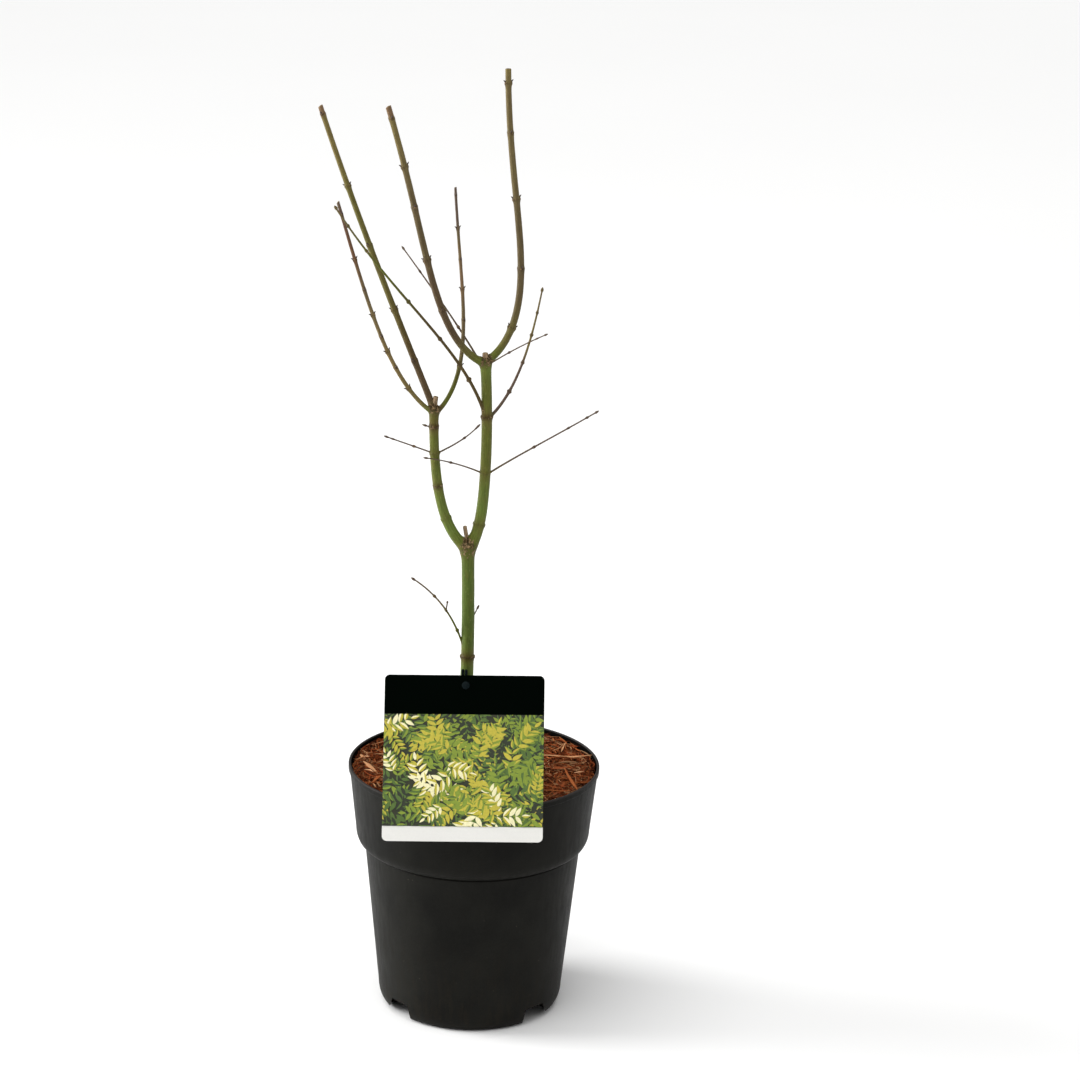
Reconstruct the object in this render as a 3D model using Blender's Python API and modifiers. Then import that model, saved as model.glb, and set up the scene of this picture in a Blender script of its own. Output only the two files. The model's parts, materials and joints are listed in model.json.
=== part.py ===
"""Potted full moon maple: a leafless young tree with cut tips, in a round nursery pot.

Metres, +Z up. The origin is the middle of the pot's flat underside, where it meets the ground.
The label card faces -Y, which is the front. A limb's heading is 0 towards +X and 90 towards +Y.
"""

import math
from collections import namedtuple

import bmesh
import bpy
from mathutils import Matrix, Vector

COLLECTION = "potted_full_moon_maple"
GAP = 0.0003  # clearance between pieces that meet
ROOM = 1.1 * GAP  # what a limb's cutter is larger by
WELD = 0.00001

# Nursery pot
POT_HEIGHT = 0.205
RIM_RADIUS = 0.1012
LIP_HEIGHT = 0.0048
LIP_PROUD = 0.0011  # how far the lip stands out from the collar
LIP_ROUND = 0.0007
COLLAR_BOTTOM = 0.1510  # height of the wide collar's lower edge
COLLAR_BOTTOM_RADIUS = 0.0946
STEP_DROP = 0.0115  # the collar rounds in to the body over this height
BODY_TOP_RADIUS = 0.0875
BODY_FOOT_HEIGHT = 0.0160
BODY_FOOT_RADIUS = 0.0747
FOOT_RADIUS = 0.0655
FOOT_RING = 0.0050  # width of the flat ring that the pot stands on
FOOT_SLOPE = 78.0  # degrees of arc from the body down to the ring
POT_WALL = 0.0016
FLOOR_BOTTOM = 0.0168  # underside of the raised floor
BOSS_RADIUS = 0.0140  # flat pad in the middle of the underside, level with the feet
POT_STEPS = 48
ARC_STEPS = 4

# Four gaps part the foot ring into feet, and the floor has drain holes
NOTCH_X = 0.0545  # from the middle to each gap, which is cut straight back
NOTCH_HEIGHT = 0.0150
NOTCH_TOP_WIDTH = 0.0130
NOTCH_BOTTOM_WIDTH = 0.0190
NOTCH_START = 0.0170  # the cut begins this far in front of the middle, or behind it
NOTCH_END = 0.0700
DRAIN_HOLES = 6
DRAIN_RADIUS = 0.0050
DRAIN_CIRCLE = 0.0400

# Growing medium, the shredded bark that fills the pot
SOIL_HEIGHT = 0.1965  # at the trunk
SOIL_DROP = 0.0015  # the surface falls this much towards the wall
SOIL_LUMP = 0.0012
SOIL_LONG_LUMPS = 0.072  # spacing of the wide lumps, and of the narrow ones
SOIL_SHORT_LUMPS = 0.036
SOIL_LEVEL_RADIUS = 0.020  # the surface is smooth this near the trunk
SOIL_LEVEL_EDGE = 0.012  # and this near the wall
SOIL_RINGS = 8

# Limbs
TRUNK_FOOT_X = -0.0124
PATH_STEP = 0.0005
TUBE_RESOLUTION = 2  # eight sides
TWIG_RESOLUTION = 1  # six sides
SPACING = 0.0150  # longest straight stretch of a limb's tube
COLLAR_FLARE = 0.16  # a limb is thicker where it leaves its parent
FLARE_LENGTH = 1.5  # in widths
BOUGH_END = 0.8  # the last ring before a bough's cut end, in widths from it
NODE_SWELL = 0.14
NODE_HALF = 0.0022  # half the length of a node's swelling
KNOT_SWELL = 0.55  # the same on a thin twig
KNOT_HALF = 0.0013
NODE_RINGS = 1.6  # rings stand this many half lengths before and after a node
LEAST_STEP = 0.6  # rings are at least this many half lengths apart
SAME_NODE = 0.012  # limbs this near each other on their parent are cut clear
STUB_SUNK = 0.0030
STUB_TAPER = (1.25, 1.0, 0.9)  # the stub's width at its foot, middle and cut

# Buds
BUD_LENGTH = 0.0042
BUD_LEAN = 44.0  # degrees from the shoot
BUD_WIDTH = 0.52  # at its foot, for a length of 1
BUD_POINT = 0.12
BUD_SEAT = 0.55  # how far out its foot stands, for a shoot's half width of 1
BUD_SUNK = 0.0005
BUD_LEAST = 0.55  # size on the thinnest shoot
BUD_GROWTH = 0.0060  # one more size for this much half width, up to full size
FRONT_PAIR_FIRST = ("right_inner_leader", "left_leader")  # their first pair faces front and back
TIP_BUD_LENGTH = 0.0042
TIP_BUD_SWELL = 0.85
TIP_BUD_SKEW = 0.7  # under 1 the bud is fullest near its foot
TIP_BUD_CLOSE = 0.75
TIP_BUD_RINGS = (1.0, 0.65, 0.3)

# The short side sprig on the trunk's long twig: its bends from its foot, and half widths
SPRIG_NODE = 1
SPRIG_BENDS = ((0.0, 0.0, 0.0), (0.0008, -0.0010, 0.0050), (0.0012, -0.0014, 0.0085))
SPRIG_RADII = (0.0005, 0.0004, 0.0006)

# Label card, hung from the trunk by a plastic tie and leaning on the rim
CARD_WIDTH = 0.1262
CARD_HEIGHT = 0.1325
CARD_THICK = 0.0010
CARD_CORNER = 0.0040
CARD_LEAN = 30.0
CARD_ROLL = 1.3
CARD_X = -0.0044
CARD_BELOW_RIM = 0.0262  # from the rim's contact down to the card's lower edge
HOLE_BELOW_TOP = 0.0083
HOLE_ACROSS = 0.0009
HOLE_RADIUS = 0.0021
TIE_HEIGHT = 0.0030
TIE_THICK = 0.0008
TIE_CLEARANCE = 0.0004
TIE_DROP = 0.0115  # the strap hangs this much lower at the trunk than behind the card
BAR_THICK = 0.0027  # a bar joins the strap's two runs at the trunk's front
LUG_RADIUS = 0.0012  # two lugs stand up from the bar
LUG_HEIGHT = 0.0100
LUG_PLACES = (-0.0030, -0.0003)  # across from the trunk's middle
TIE_END_RADIUS = 0.0006  # inner bend of the strap behind the card
SHANK_LENGTH = 0.0042  # behind the middle of the card
STRAP_ON_SHANK = 0.75
BUTTON_RADIUS = 0.0031
BUTTON_THICK = 0.0012

# name, carried by, distance up it, heading, leans at the base, middle and tip in degrees, the
# length over which the base lean dies out, length, diameters at the base and tip, and the
# distances of the bud pairs
Limb = namedtuple("Limb", "name parent at heading leans bend length widths nodes")

BOUGHS = (
    Limb("trunk", None, 0.000, 180, (-7.6, -1, 2), 0.050, 0.194, (0.0106, 0.0100), (0.100,)),
    Limb("left_bough", "trunk", 0.190, 186, (54, 6, -1), 0.030, 0.124, (0.0082, 0.0072),
         (0.032, 0.060, 0.087, 0.109)),
    Limb("right_bough", "trunk", 0.190, 6, (41, 6, -4), 0.014, 0.158, (0.0088, 0.0082),
         (0.023, 0.066, 0.112)),
)
SHOOTS = (
    Limb("right_leader", "right_bough", 0.156, 20, (60, -28, -2), 0.052, 0.242, (0.0058, 0.0046),
         (0.035, 0.083, 0.139, 0.192, 0.231)),
    Limb("right_inner_leader", "right_bough", 0.155, 200, (68, 5, 17), 0.039, 0.230,
         (0.0058, 0.0045), (0.060, 0.103, 0.147, 0.180, 0.220)),
    Limb("left_leader", "left_bough", 0.122, 160, (24, 26.6, 20.8), 0.046, 0.254, (0.0052, 0.0040),
         (0.042, 0.085, 0.139, 0.188, 0.247)),
    Limb("left_outer_shoot", "left_bough", 0.119, 205, (54, 13, 16), 0.052, 0.198,
         (0.0035, 0.0025), (0.032, 0.053, 0.068, 0.082, 0.101, 0.123, 0.149, 0.188)),
    Limb("left_inner_shoot", "left_bough", 0.118, 20, (52, -20, -5), 0.046, 0.189,
         (0.0037, 0.0020), (0.045, 0.082, 0.107, 0.131, 0.156, 0.183)),
)
TWIGS = (
    Limb("trunk_left_twig", "trunk", 0.100, 198, (27, 10, 56), 0.008, 0.086, (0.0018, 0.0012),
         (0.024, 0.044, 0.060)),
    Limb("trunk_right_spur", "trunk", 0.126, 18, (33, 29, 22), 0.039, 0.019, (0.0012, 0.0010), ()),
    Limb("left_bough_left_twig", "left_bough", 0.086, 192, (68, 72, 70), 0.038, 0.044,
         (0.0013, 0.0010), (0.018, 0.036)),
    Limb("left_bough_right_twig", "left_bough", 0.085, 12, (59, 77, 42), 0.009, 0.044,
         (0.0015, 0.0009), (0.027, 0.039)),
    Limb("left_bough_spur", "left_bough", 0.107, 180, (74, 74, 74), 0.040, 0.010,
         (0.0012, 0.0010), ()),
    Limb("right_bough_right_twig", "right_bough", 0.063, 14, (58, 70, 62), 0.045, 0.104,
         (0.0016, 0.0011), (0.045, 0.076, 0.093)),
    Limb("right_bough_left_twig", "right_bough", 0.064, 194, (63, 65, 82), 0.041, 0.053,
         (0.0014, 0.0009), (0.030,)),
    Limb("long_left_twig", "right_bough", 0.107, 213, (16, 72, 37), 0.082, 0.236,
         (0.0028, 0.0014), (0.041, 0.086, 0.130, 0.188, 0.215)),
    Limb("long_right_twig", "right_bough", 0.109, 33, (57, 10, 8), 0.044, 0.116,
         (0.0027, 0.0013), (0.029, 0.054, 0.077, 0.095)),
    Limb("fork_right_twig", "right_bough", 0.1525, 335, (53, 53, 62), 0.040, 0.064,
         (0.0012, 0.0009), (0.025, 0.053)),
    Limb("fork_left_twig", "right_bough", 0.1475, 155, (34, 41, 43), 0.039, 0.120,
         (0.0018, 0.0010), (0.042, 0.095)),
)
LIMBS = {limb.name: limb for limb in BOUGHS + SHOOTS + TWIGS}

# The dead, cut leader that stands in each fork: length, width, heading and lean
STUBS = {
    "trunk": (0.0150, 0.0034, 180, 10),
    "left_bough": (0.0075, 0.0042, 0, 14),
    "right_bough": (0.0070, 0.0046, 180, 3),
}

# Base colour and roughness
POT_FINISH = ((0.012, 0.013, 0.014), 0.55)
MULCH_FINISH = ((0.125, 0.040, 0.017), 0.90)
GREEN_BARK = ((0.105, 0.140, 0.030), 0.60)
SHOOT_BARK = ((0.110, 0.080, 0.040), 0.60)
TWIG_BARK = ((0.075, 0.045, 0.032), 0.70)
CARD_FINISH = ((0.010, 0.014, 0.010), 0.35)
TIE_FINISH = ((0.012, 0.013, 0.014), 0.40)


def clear_scene():
    for obj in list(bpy.data.objects):
        bpy.data.objects.remove(obj, do_unlink=True)


def make_collection(name):
    collection = bpy.data.collections.new(name)
    bpy.context.scene.collection.children.link(collection)
    return collection


def material(name, finish):
    colour, roughness = finish
    mat = bpy.data.materials.new(name)
    mat.use_nodes = True
    shader = mat.node_tree.nodes["Principled BSDF"]
    shader.inputs["Base Color"].default_value = (*colour, 1.0)
    shader.inputs["Roughness"].default_value = roughness
    shader.inputs["Metallic"].default_value = 0.0
    return mat


def add_object(name, data, collection):
    obj = bpy.data.objects.new(name, data)
    collection.objects.link(obj)
    return obj


def to_mesh(obj, collection):
    """The object's evaluated shape as a mesh object of the same name, with its caps welded."""
    bpy.context.view_layer.update()
    evaluated = obj.evaluated_get(bpy.context.evaluated_depsgraph_get())
    mesh = bpy.data.meshes.new_from_object(evaluated)
    bm = bmesh.new()
    bm.from_mesh(mesh)
    bmesh.ops.remove_doubles(bm, verts=bm.verts, dist=WELD)
    bm.to_mesh(mesh)
    bm.free()
    name = obj.name
    place = obj.matrix_world.copy()
    bpy.data.objects.remove(obj, do_unlink=True)
    made = add_object(name, mesh, collection)
    made.matrix_world = place
    return made


def boolean(obj, operation, others):
    """Joins the other objects to obj, or cuts them out of it, and removes them."""
    tools = make_collection(obj.name + "_tools")
    for other in others:
        for holder in list(other.users_collection):
            holder.objects.unlink(other)
        tools.objects.link(other)
        other.hide_render = True
        other.display_type = "WIRE"
    modifier = obj.modifiers.new(operation.lower(), "BOOLEAN")
    modifier.operation = operation
    modifier.operand_type = "COLLECTION"
    modifier.collection = tools
    obj = to_mesh(obj, obj.users_collection[0])
    for other in list(tools.objects):
        bpy.data.objects.remove(other, do_unlink=True)
    bpy.data.collections.remove(tools)
    return obj


def keep_largest(obj):
    """Drops any loose scrap that a cut leaves, and keeps the biggest closed body."""
    bm = bmesh.new()
    bm.from_mesh(obj.data)
    unseen = set(bm.verts)
    islands = []
    while unseen:
        front = [unseen.pop()]
        island = set(front)
        while front:
            for edge in front.pop().link_edges:
                for vert in edge.verts:
                    if vert in unseen:
                        unseen.remove(vert)
                        island.add(vert)
                        front.append(vert)
        islands.append(island)
    islands.sort(key=len)
    scraps = [vert for island in islands[:-1] for vert in island]
    if scraps:
        bmesh.ops.delete(bm, geom=scraps, context="VERTS")
    bm.to_mesh(obj.data)
    bm.free()


def shade_round(obj, angle=35.0):
    obj.data.shade_smooth()
    obj.data.set_sharp_from_angle(angle=math.radians(angle))


def finish(obj, look):
    """Keeps one closed body, shades it round and gives it a material of its own."""
    keep_largest(obj)
    shade_round(obj)
    obj.data.materials.clear()
    obj.data.materials.append(material(obj.name + "_finish", look))


def turned(name, profile, collection, steps=POT_STEPS):
    """A solid of revolution. The profile of (radius, height) runs down its outer side."""
    mesh = bpy.data.meshes.new(name)
    verts = [(radius, 0.0, height) for radius, height in profile]
    mesh.from_pydata(verts, [(i, i + 1) for i in range(len(verts) - 1)], [])
    obj = add_object(name, mesh, collection)
    screw = obj.modifiers.new("turn", "SCREW")
    screw.steps = steps
    screw.render_steps = steps
    screw.use_merge_vertices = True
    screw.merge_threshold = WELD
    return to_mesh(obj, collection)


def arc(centre_r, centre_z, radius_r, radius_z, start, end, steps=ARC_STEPS):
    """Points of an elliptical arc in the profile plane, with angles in degrees from +r."""
    points = []
    for i in range(steps + 1):
        angle = math.radians(start + (end - start) * i / steps)
        points.append((centre_r + radius_r * math.cos(angle), centre_z + radius_z * math.sin(angle)))
    return points


def collar_radius(height):
    """Outer radius of the tapering collar."""
    top = RIM_RADIUS - LIP_PROUD
    share = (height - COLLAR_BOTTOM) / (POT_HEIGHT - LIP_HEIGHT - COLLAR_BOTTOM)
    return COLLAR_BOTTOM_RADIUS + (top - COLLAR_BOTTOM_RADIUS) * share


def pot_outer():
    """The pot's outer side, from the lip down to the foot."""
    step_width = COLLAR_BOTTOM_RADIUS - BODY_TOP_RADIUS
    lip_bottom = POT_HEIGHT - LIP_HEIGHT
    foot_width = BODY_FOOT_RADIUS - FOOT_RADIUS
    lip = arc(RIM_RADIUS - LIP_ROUND, POT_HEIGHT - LIP_ROUND, LIP_ROUND, LIP_ROUND, 90, 0, 2)
    lip += [(RIM_RADIUS, lip_bottom + LIP_ROUND), (collar_radius(lip_bottom), lip_bottom)]
    step = arc(BODY_TOP_RADIUS, COLLAR_BOTTOM, step_width, STEP_DROP, 0, -90)
    foot = arc(FOOT_RADIUS, BODY_FOOT_HEIGHT, foot_width, BODY_FOOT_HEIGHT, 0, -FOOT_SLOPE)
    return lip + step + foot + [(FOOT_RADIUS, 0.0)]


def pot_inner(clearance=0.0):
    """The pot's inside, from the middle of its floor up to the rim, or the filling's side."""
    inset = POT_WALL + clearance
    floor_top = FLOOR_BOTTOM + inset
    step_width = COLLAR_BOTTOM_RADIUS - BODY_TOP_RADIUS
    shoulder = COLLAR_BOTTOM - STEP_DROP
    step = arc(BODY_TOP_RADIUS - inset, COLLAR_BOTTOM + inset, step_width, STEP_DROP, -90, 0)
    return [
        (0.0, inset),
        (BOSS_RADIUS - inset, inset),
        (BOSS_RADIUS + 2 * POT_WALL - inset, floor_top),
        (BODY_FOOT_RADIUS - 2 * inset, floor_top),
        (BODY_FOOT_RADIUS - inset, BODY_FOOT_HEIGHT + 2 * inset),
        (BODY_TOP_RADIUS - inset, shoulder + inset - GAP),
    ] + step


def pot_underside():
    """From the foot ring in to the middle of the underside."""
    return [
        (FOOT_RADIUS - FOOT_RING, 0.0),
        (FOOT_RADIUS - FOOT_RING - POT_WALL, FLOOR_BOTTOM),
        (BOSS_RADIUS + 2 * POT_WALL, FLOOR_BOTTOM),
        (BOSS_RADIUS, 0.0),
        (0.0, 0.0),
    ]


def notch_cutter(side, end, collection):
    """A wedge, wider at the ground, that cuts one gap: side and end are -1 or 1 along X and Y."""
    high = NOTCH_TOP_WIDTH / 2
    low = NOTCH_BOTTOM_WIDTH - high  # as far under the ground as the gap is high
    outline = ((-low, -NOTCH_HEIGHT), (low, -NOTCH_HEIGHT), (high, NOTCH_HEIGHT),
               (-high, NOTCH_HEIGHT))
    obj = flat_outline("notch_cutter", [outline], NOTCH_END - NOTCH_START, collection)
    middle = Vector((side * NOTCH_X, end * (NOTCH_START + NOTCH_END) / 2, 0.0))
    obj.matrix_world = axes_matrix(Vector((1, 0, 0)), Vector((0, 0, 1)), Vector((0, -1, 0)), middle)
    return to_mesh(obj, collection)


def axes_matrix(x_axis, y_axis, z_axis, origin):
    rotation = Matrix((x_axis, y_axis, z_axis)).transposed().to_4x4()
    return Matrix.Translation(origin) @ rotation


def flat_outline(name, outlines, thickness, collection):
    """A plate in the local XY plane, thickness thick about Z=0. Inner outlines are holes."""
    curve = bpy.data.curves.new(name, "CURVE")
    curve.dimensions = "2D"
    curve.fill_mode = "BOTH"
    curve.extrude = thickness / 2
    for outline in outlines:
        spline = curve.splines.new("POLY")
        spline.points.add(len(outline) - 1)
        for point, (x, y) in zip(spline.points, outline):
            point.co = (x, y, 0.0, 1.0)
        spline.use_cyclic_u = True
    return add_object(name, curve, collection)


def cylinder(name, radius, height, matrix, collection, sides=16):
    mesh = bpy.data.meshes.new(name)
    bm = bmesh.new()
    bmesh.ops.create_cone(bm, cap_ends=True, segments=sides, radius1=radius, radius2=radius,
                          depth=height)
    bm.to_mesh(mesh)
    bm.free()
    obj = add_object(name, mesh, collection)
    obj.matrix_world = matrix
    return obj


def make_pot(collection):
    rim_inside = [(collar_radius(POT_HEIGHT) - POT_WALL, POT_HEIGHT)]
    pot = turned("pot", pot_inner() + rim_inside + pot_outer() + pot_underside(), collection)
    notches = [notch_cutter(side, end, collection) for side in (-1, 1) for end in (-1, 1)]
    holes = []
    for i in range(DRAIN_HOLES):
        turn = 2 * math.pi * i / DRAIN_HOLES
        place = Vector((math.cos(turn), math.sin(turn), 0.0)) * DRAIN_CIRCLE
        place.z = FLOOR_BOTTOM
        holes.append(cylinder("drain_cutter", DRAIN_RADIUS, 5 * POT_WALL,
                              Matrix.Translation(place), collection))
    pot = boolean(pot, "DIFFERENCE", notches + holes)
    finish(pot, POT_FINISH)


def lump(x, y, edge_radius):
    """Uneven height of the bark's surface, nothing at the trunk and at the wall."""
    radius = math.hypot(x, y)
    full_turn = 2 * math.pi
    wide = math.sin(full_turn * x / SOIL_LONG_LUMPS + 1) * math.cos(full_turn * y / SOIL_LONG_LUMPS)
    narrow = math.sin(full_turn * (x - y / 3) / SOIL_SHORT_LUMPS)
    near = min(max((radius - SOIL_LEVEL_RADIUS) / SOIL_LEVEL_RADIUS, 0.0), 1.0)
    edge = min(max((edge_radius - radius) / SOIL_LEVEL_EDGE, 0.0), 1.0)
    return SOIL_LUMP * (wide + narrow) * near * edge


def make_growing_medium(collection):
    side = pot_inner(GAP)
    edge_height = SOIL_HEIGHT - SOIL_DROP
    edge_radius = collar_radius(edge_height) - POT_WALL - GAP
    top = []
    for i in range(SOIL_RINGS + 1):
        share = i / SOIL_RINGS
        top.append((edge_radius * share, SOIL_HEIGHT - SOIL_DROP * share**2))
    profile = top + list(reversed(side))
    medium = turned("growing_medium", profile, collection)
    for vert in medium.data.vertices:
        if vert.co.z > COLLAR_BOTTOM + STEP_DROP:
            vert.co.z += lump(vert.co.x, vert.co.y, edge_radius)
    finish(medium, MULCH_FINISH)


def lean_at(limb, distance):
    """The limb's lean from upright, in radians, this far along it."""
    base, middle, tip = (math.radians(lean) for lean in limb.leans)
    drift = middle + (tip - middle) * distance / limb.length
    return drift + (base - middle) * math.exp(-distance / limb.bend)


def centre_line(limb):
    """Points every PATH_STEP along the limb's middle, by adding up its lean."""
    point = Vector((TRUNK_FOOT_X, 0.0, SOIL_HEIGHT + GAP))
    if limb.parent:
        point = point_at(LIMBS[limb.parent], limb.at)
    turn = math.radians(limb.heading)
    line = [point]
    for i in range(round(limb.length / PATH_STEP)):
        lean = lean_at(limb, (i + 0.5) * PATH_STEP)
        out = math.sin(lean) * PATH_STEP
        step = Vector((out * math.cos(turn), out * math.sin(turn), math.cos(lean) * PATH_STEP))
        point = point + step
        line.append(point)
    return line


def point_at(limb, distance):
    return centre_line(limb)[round(distance / PATH_STEP)]


def direction_at(limb, distance):
    lean = lean_at(limb, distance)
    turn = math.radians(limb.heading)
    flat = math.sin(lean)
    return Vector((flat * math.cos(turn), flat * math.sin(turn), math.cos(lean)))


def is_twig(limb):
    return limb in TWIGS


def tip_bud(along):
    """How a twig widens and closes along its end bud, as a factor on its width."""
    fullness = math.sin(math.pi * along**TIP_BUD_SKEW)
    return 1 + TIP_BUD_SWELL * fullness - TIP_BUD_CLOSE * along**4


def radius_at(limb, distance):
    """Half the limb's width: an even taper, a flare at its base and a swelling at each node."""
    base, tip = limb.widths
    share = distance / limb.length
    radius = (base + (tip - base) * share) / 2
    swell, half = (KNOT_SWELL, KNOT_HALF) if is_twig(limb) else (NODE_SWELL, NODE_HALF)
    grow = sum(swell * math.exp(-(((distance - node) / half) ** 2)) for node in limb.nodes)
    grow += COLLAR_FLARE * math.exp(-distance / (FLARE_LENGTH * base))
    if limb in BOUGHS:
        grow += COLLAR_FLARE * math.exp(-(((limb.length - distance) / base) ** 2))
    radius *= 1 + grow
    if is_twig(limb):
        along = 1 - (limb.length - distance) / TIP_BUD_LENGTH
        if along > 0:
            radius *= tip_bud(along)
    return radius


def stations(limb):
    """Distances along the limb where its tube has a ring of points."""
    count = max(math.ceil(limb.length / SPACING), 2)
    places = [limb.length * i / count for i in range(count + 1)]
    half = KNOT_HALF if is_twig(limb) else NODE_HALF
    for node in limb.nodes:
        places += [node - NODE_RINGS * half, node, node + NODE_RINGS * half]
    if is_twig(limb):
        places += [limb.length - TIP_BUD_LENGTH * part for part in TIP_BUD_RINGS]
    if limb in BOUGHS:
        places.append(limb.length - BOUGH_END * limb.widths[1])
    places = sorted(place for place in places if 0 <= place <= limb.length)
    kept = [places[0]]
    for place in places[1:]:
        if place - kept[-1] > LEAST_STEP * half:
            kept.append(place)
    kept[-1] = limb.length
    return kept


def tube(name, points, radii, resolution, collection):
    """A round tube along the points, with flat ends."""
    curve = bpy.data.curves.new(name, "CURVE")
    curve.dimensions = "3D"
    curve.bevel_depth = 0.001
    curve.bevel_resolution = resolution
    curve.use_fill_caps = True
    spline = curve.splines.new("POLY")
    spline.points.add(len(points) - 1)
    for point, place, radius in zip(spline.points, points, radii):
        point.co = (*place, 1.0)
        point.radius = radius / curve.bevel_depth
    return to_mesh(add_object(name, curve, collection), collection)


def limb_tube(limb, collection, inflate=0.0):
    resolution = TWIG_RESOLUTION if is_twig(limb) else TUBE_RESOLUTION
    line = centre_line(limb)
    places = stations(limb)
    points = [line[round(place / PATH_STEP)] for place in places]
    radii = [radius_at(limb, place) + inflate for place in places]
    if inflate:
        points[-1] = points[-1] + direction_at(limb, limb.length) * inflate
    return tube(limb.name + ("_room" if inflate else ""), points, radii, resolution, collection)


def stub_tube(limb, collection, inflate=0.0):
    """The dead leader in the fork at the limb's end, with its foot sunk in the limb."""
    length, width, heading, lean = STUBS[limb.name]
    turn = math.radians(heading)
    flat = math.sin(math.radians(lean))
    upright = math.cos(math.radians(lean))
    out = Vector((flat * math.cos(turn), flat * math.sin(turn), upright))
    foot = point_at(limb, limb.length)
    points = [foot - out * STUB_SUNK, foot + out * length / 2, foot + out * (length + inflate)]
    radii = [width / 2 * grow + inflate for grow in STUB_TAPER]
    return tube("stub", points, radii, TUBE_RESOLUTION, collection)


def bud(limb, distance, turn, collection):
    """One pointed bud on a shoot, its foot sunk well in."""
    along = direction_at(limb, distance)
    heading = math.radians(limb.heading)
    across = Vector((-math.sin(heading), math.cos(heading), 0.0))
    side = Matrix.Rotation(turn, 3, along) @ across
    lean = math.radians(BUD_LEAN)
    pointing = (along * math.cos(lean) + side * math.sin(lean)).normalized()
    radius = radius_at(limb, distance)
    length = BUD_LENGTH * min(1.0, BUD_LEAST + radius / BUD_GROWTH)
    foot = point_at(limb, distance) + side * radius * BUD_SEAT - pointing * BUD_SUNK
    mesh = bpy.data.meshes.new("bud")
    bm = bmesh.new()
    bmesh.ops.create_cone(bm, cap_ends=True, segments=6, radius1=length * BUD_WIDTH / 2,
                          radius2=length * BUD_POINT / 2, depth=length)
    bm.to_mesh(mesh)
    bm.free()
    obj = add_object("bud", mesh, collection)
    rotation = pointing.to_track_quat("Z", "Y").to_matrix().to_4x4()
    obj.matrix_world = Matrix.Translation(foot + pointing * length / 2) @ rotation
    return obj


def bud_pairs(limb, collection):
    """Opposite buds at each node, each pair a quarter turn on from the last."""
    first = 0 if limb.name in FRONT_PAIR_FIRST else 1
    buds = []
    for i, node in enumerate(limb.nodes):
        for turn in (0.0, math.pi):
            buds.append(bud(limb, node, turn + math.pi / 2 * (i + first), collection))
    return buds


def sprig(limb, collection):
    foot = point_at(limb, limb.nodes[SPRIG_NODE])
    points = [foot + Vector(bend) for bend in SPRIG_BENDS]
    return tube("sprig", points, SPRIG_RADII, TWIG_RESOLUTION, collection)


def neighbours(limb):
    """The limbs that this one must be cut clear of: its parent, and what left it earlier."""
    names = list(LIMBS)
    earlier = [LIMBS[name] for name in names[: names.index(limb.name)]]
    near = []
    for other in earlier:
        same_node = other.parent == limb.parent and abs(other.at - limb.at) < SAME_NODE
        if other.name == limb.parent or same_node:
            near.append(other)
    return near


def flatten_foot(obj):
    """Makes the trunk's foot a level cut, just clear of the bark's surface."""
    for vert in obj.data.vertices:
        if vert.co.z < SOIL_HEIGHT + 0.002:
            vert.co.z = SOIL_HEIGHT + GAP


def make_limb(limb, look, collection):
    obj = limb_tube(limb, collection)
    if not limb.parent:
        flatten_foot(obj)
    extras = []
    if limb.name in STUBS:
        extras.append(stub_tube(limb, collection))
    if limb in SHOOTS:
        extras += bud_pairs(limb, collection)
    if limb.name == "trunk_left_twig":
        extras.append(sprig(limb, collection))
    if extras:
        obj = boolean(obj, "UNION", extras)
    room = []
    for other in neighbours(limb):
        room.append(limb_tube(other, collection, inflate=ROOM))
        if other.name in STUBS:
            room.append(stub_tube(other, collection, inflate=ROOM))
    for cutter in room:
        obj = boolean(obj, "DIFFERENCE", [cutter])
    finish(obj, look)


def belt(near, near_radius, far, far_radius, steps=10):
    """Outline of a belt round two circles, in the XY plane."""
    span = far - near
    heading = math.atan2(span.y, span.x)
    open_angle = math.acos((near_radius - far_radius) / span.length)
    points = []
    for centre, radius, start, end in (
        (far, far_radius, -open_angle, open_angle),
        (near, near_radius, open_angle, 2 * math.pi - open_angle),
    ):
        for i in range(steps + 1):
            angle = heading + start + (end - start) * i / steps
            points.append((centre.x + radius * math.cos(angle), centre.y + radius * math.sin(angle)))
    return points


def rounded_rectangle(width, height, corner):
    """Outline from the middle of the lower edge's line, with round corners."""
    points = []
    for i, (x, y) in enumerate(((1, 1), (-1, 1), (-1, -1), (1, -1))):
        centre = (x * (width / 2 - corner), height / 2 + y * (height / 2 - corner))
        points += arc(*centre, corner, corner, 90 * i, 90 * i + 90)
    return points


def card_matrix():
    """The card's frame: X across it, Y up it from its lower edge, Z out of its face."""
    lean = math.radians(CARD_LEAN)
    roll = math.radians(CARD_ROLL)
    face = Vector((0.0, -math.cos(lean), math.sin(lean)))
    level = Vector((1.0, 0.0, 0.0))
    slope = Vector((0.0, math.sin(lean), math.cos(lean)))
    across = level * math.cos(roll) + slope * math.sin(roll)
    up = slope * math.cos(roll) - level * math.sin(roll)
    rest = Vector((CARD_X, -RIM_RADIUS, POT_HEIGHT)) + face * (GAP + CARD_THICK / 2)
    return axes_matrix(across, up, face, rest - up * CARD_BELOW_RIM)


def hole_centre():
    """Where the tie goes through the card, in the card's frame."""
    return Vector((HOLE_ACROSS, CARD_HEIGHT - HOLE_BELOW_TOP, 0.0))


def make_card(frame, hole, collection):
    circle = arc(hole.x, hole.y, HOLE_RADIUS, HOLE_RADIUS, 0, 360, 16)[:-1]
    outline = rounded_rectangle(CARD_WIDTH, CARD_HEIGHT, CARD_CORNER)
    card = flat_outline("label_card", [outline, circle], CARD_THICK, collection)
    card.matrix_world = frame
    finish(to_mesh(card, collection), CARD_FINISH)


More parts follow.
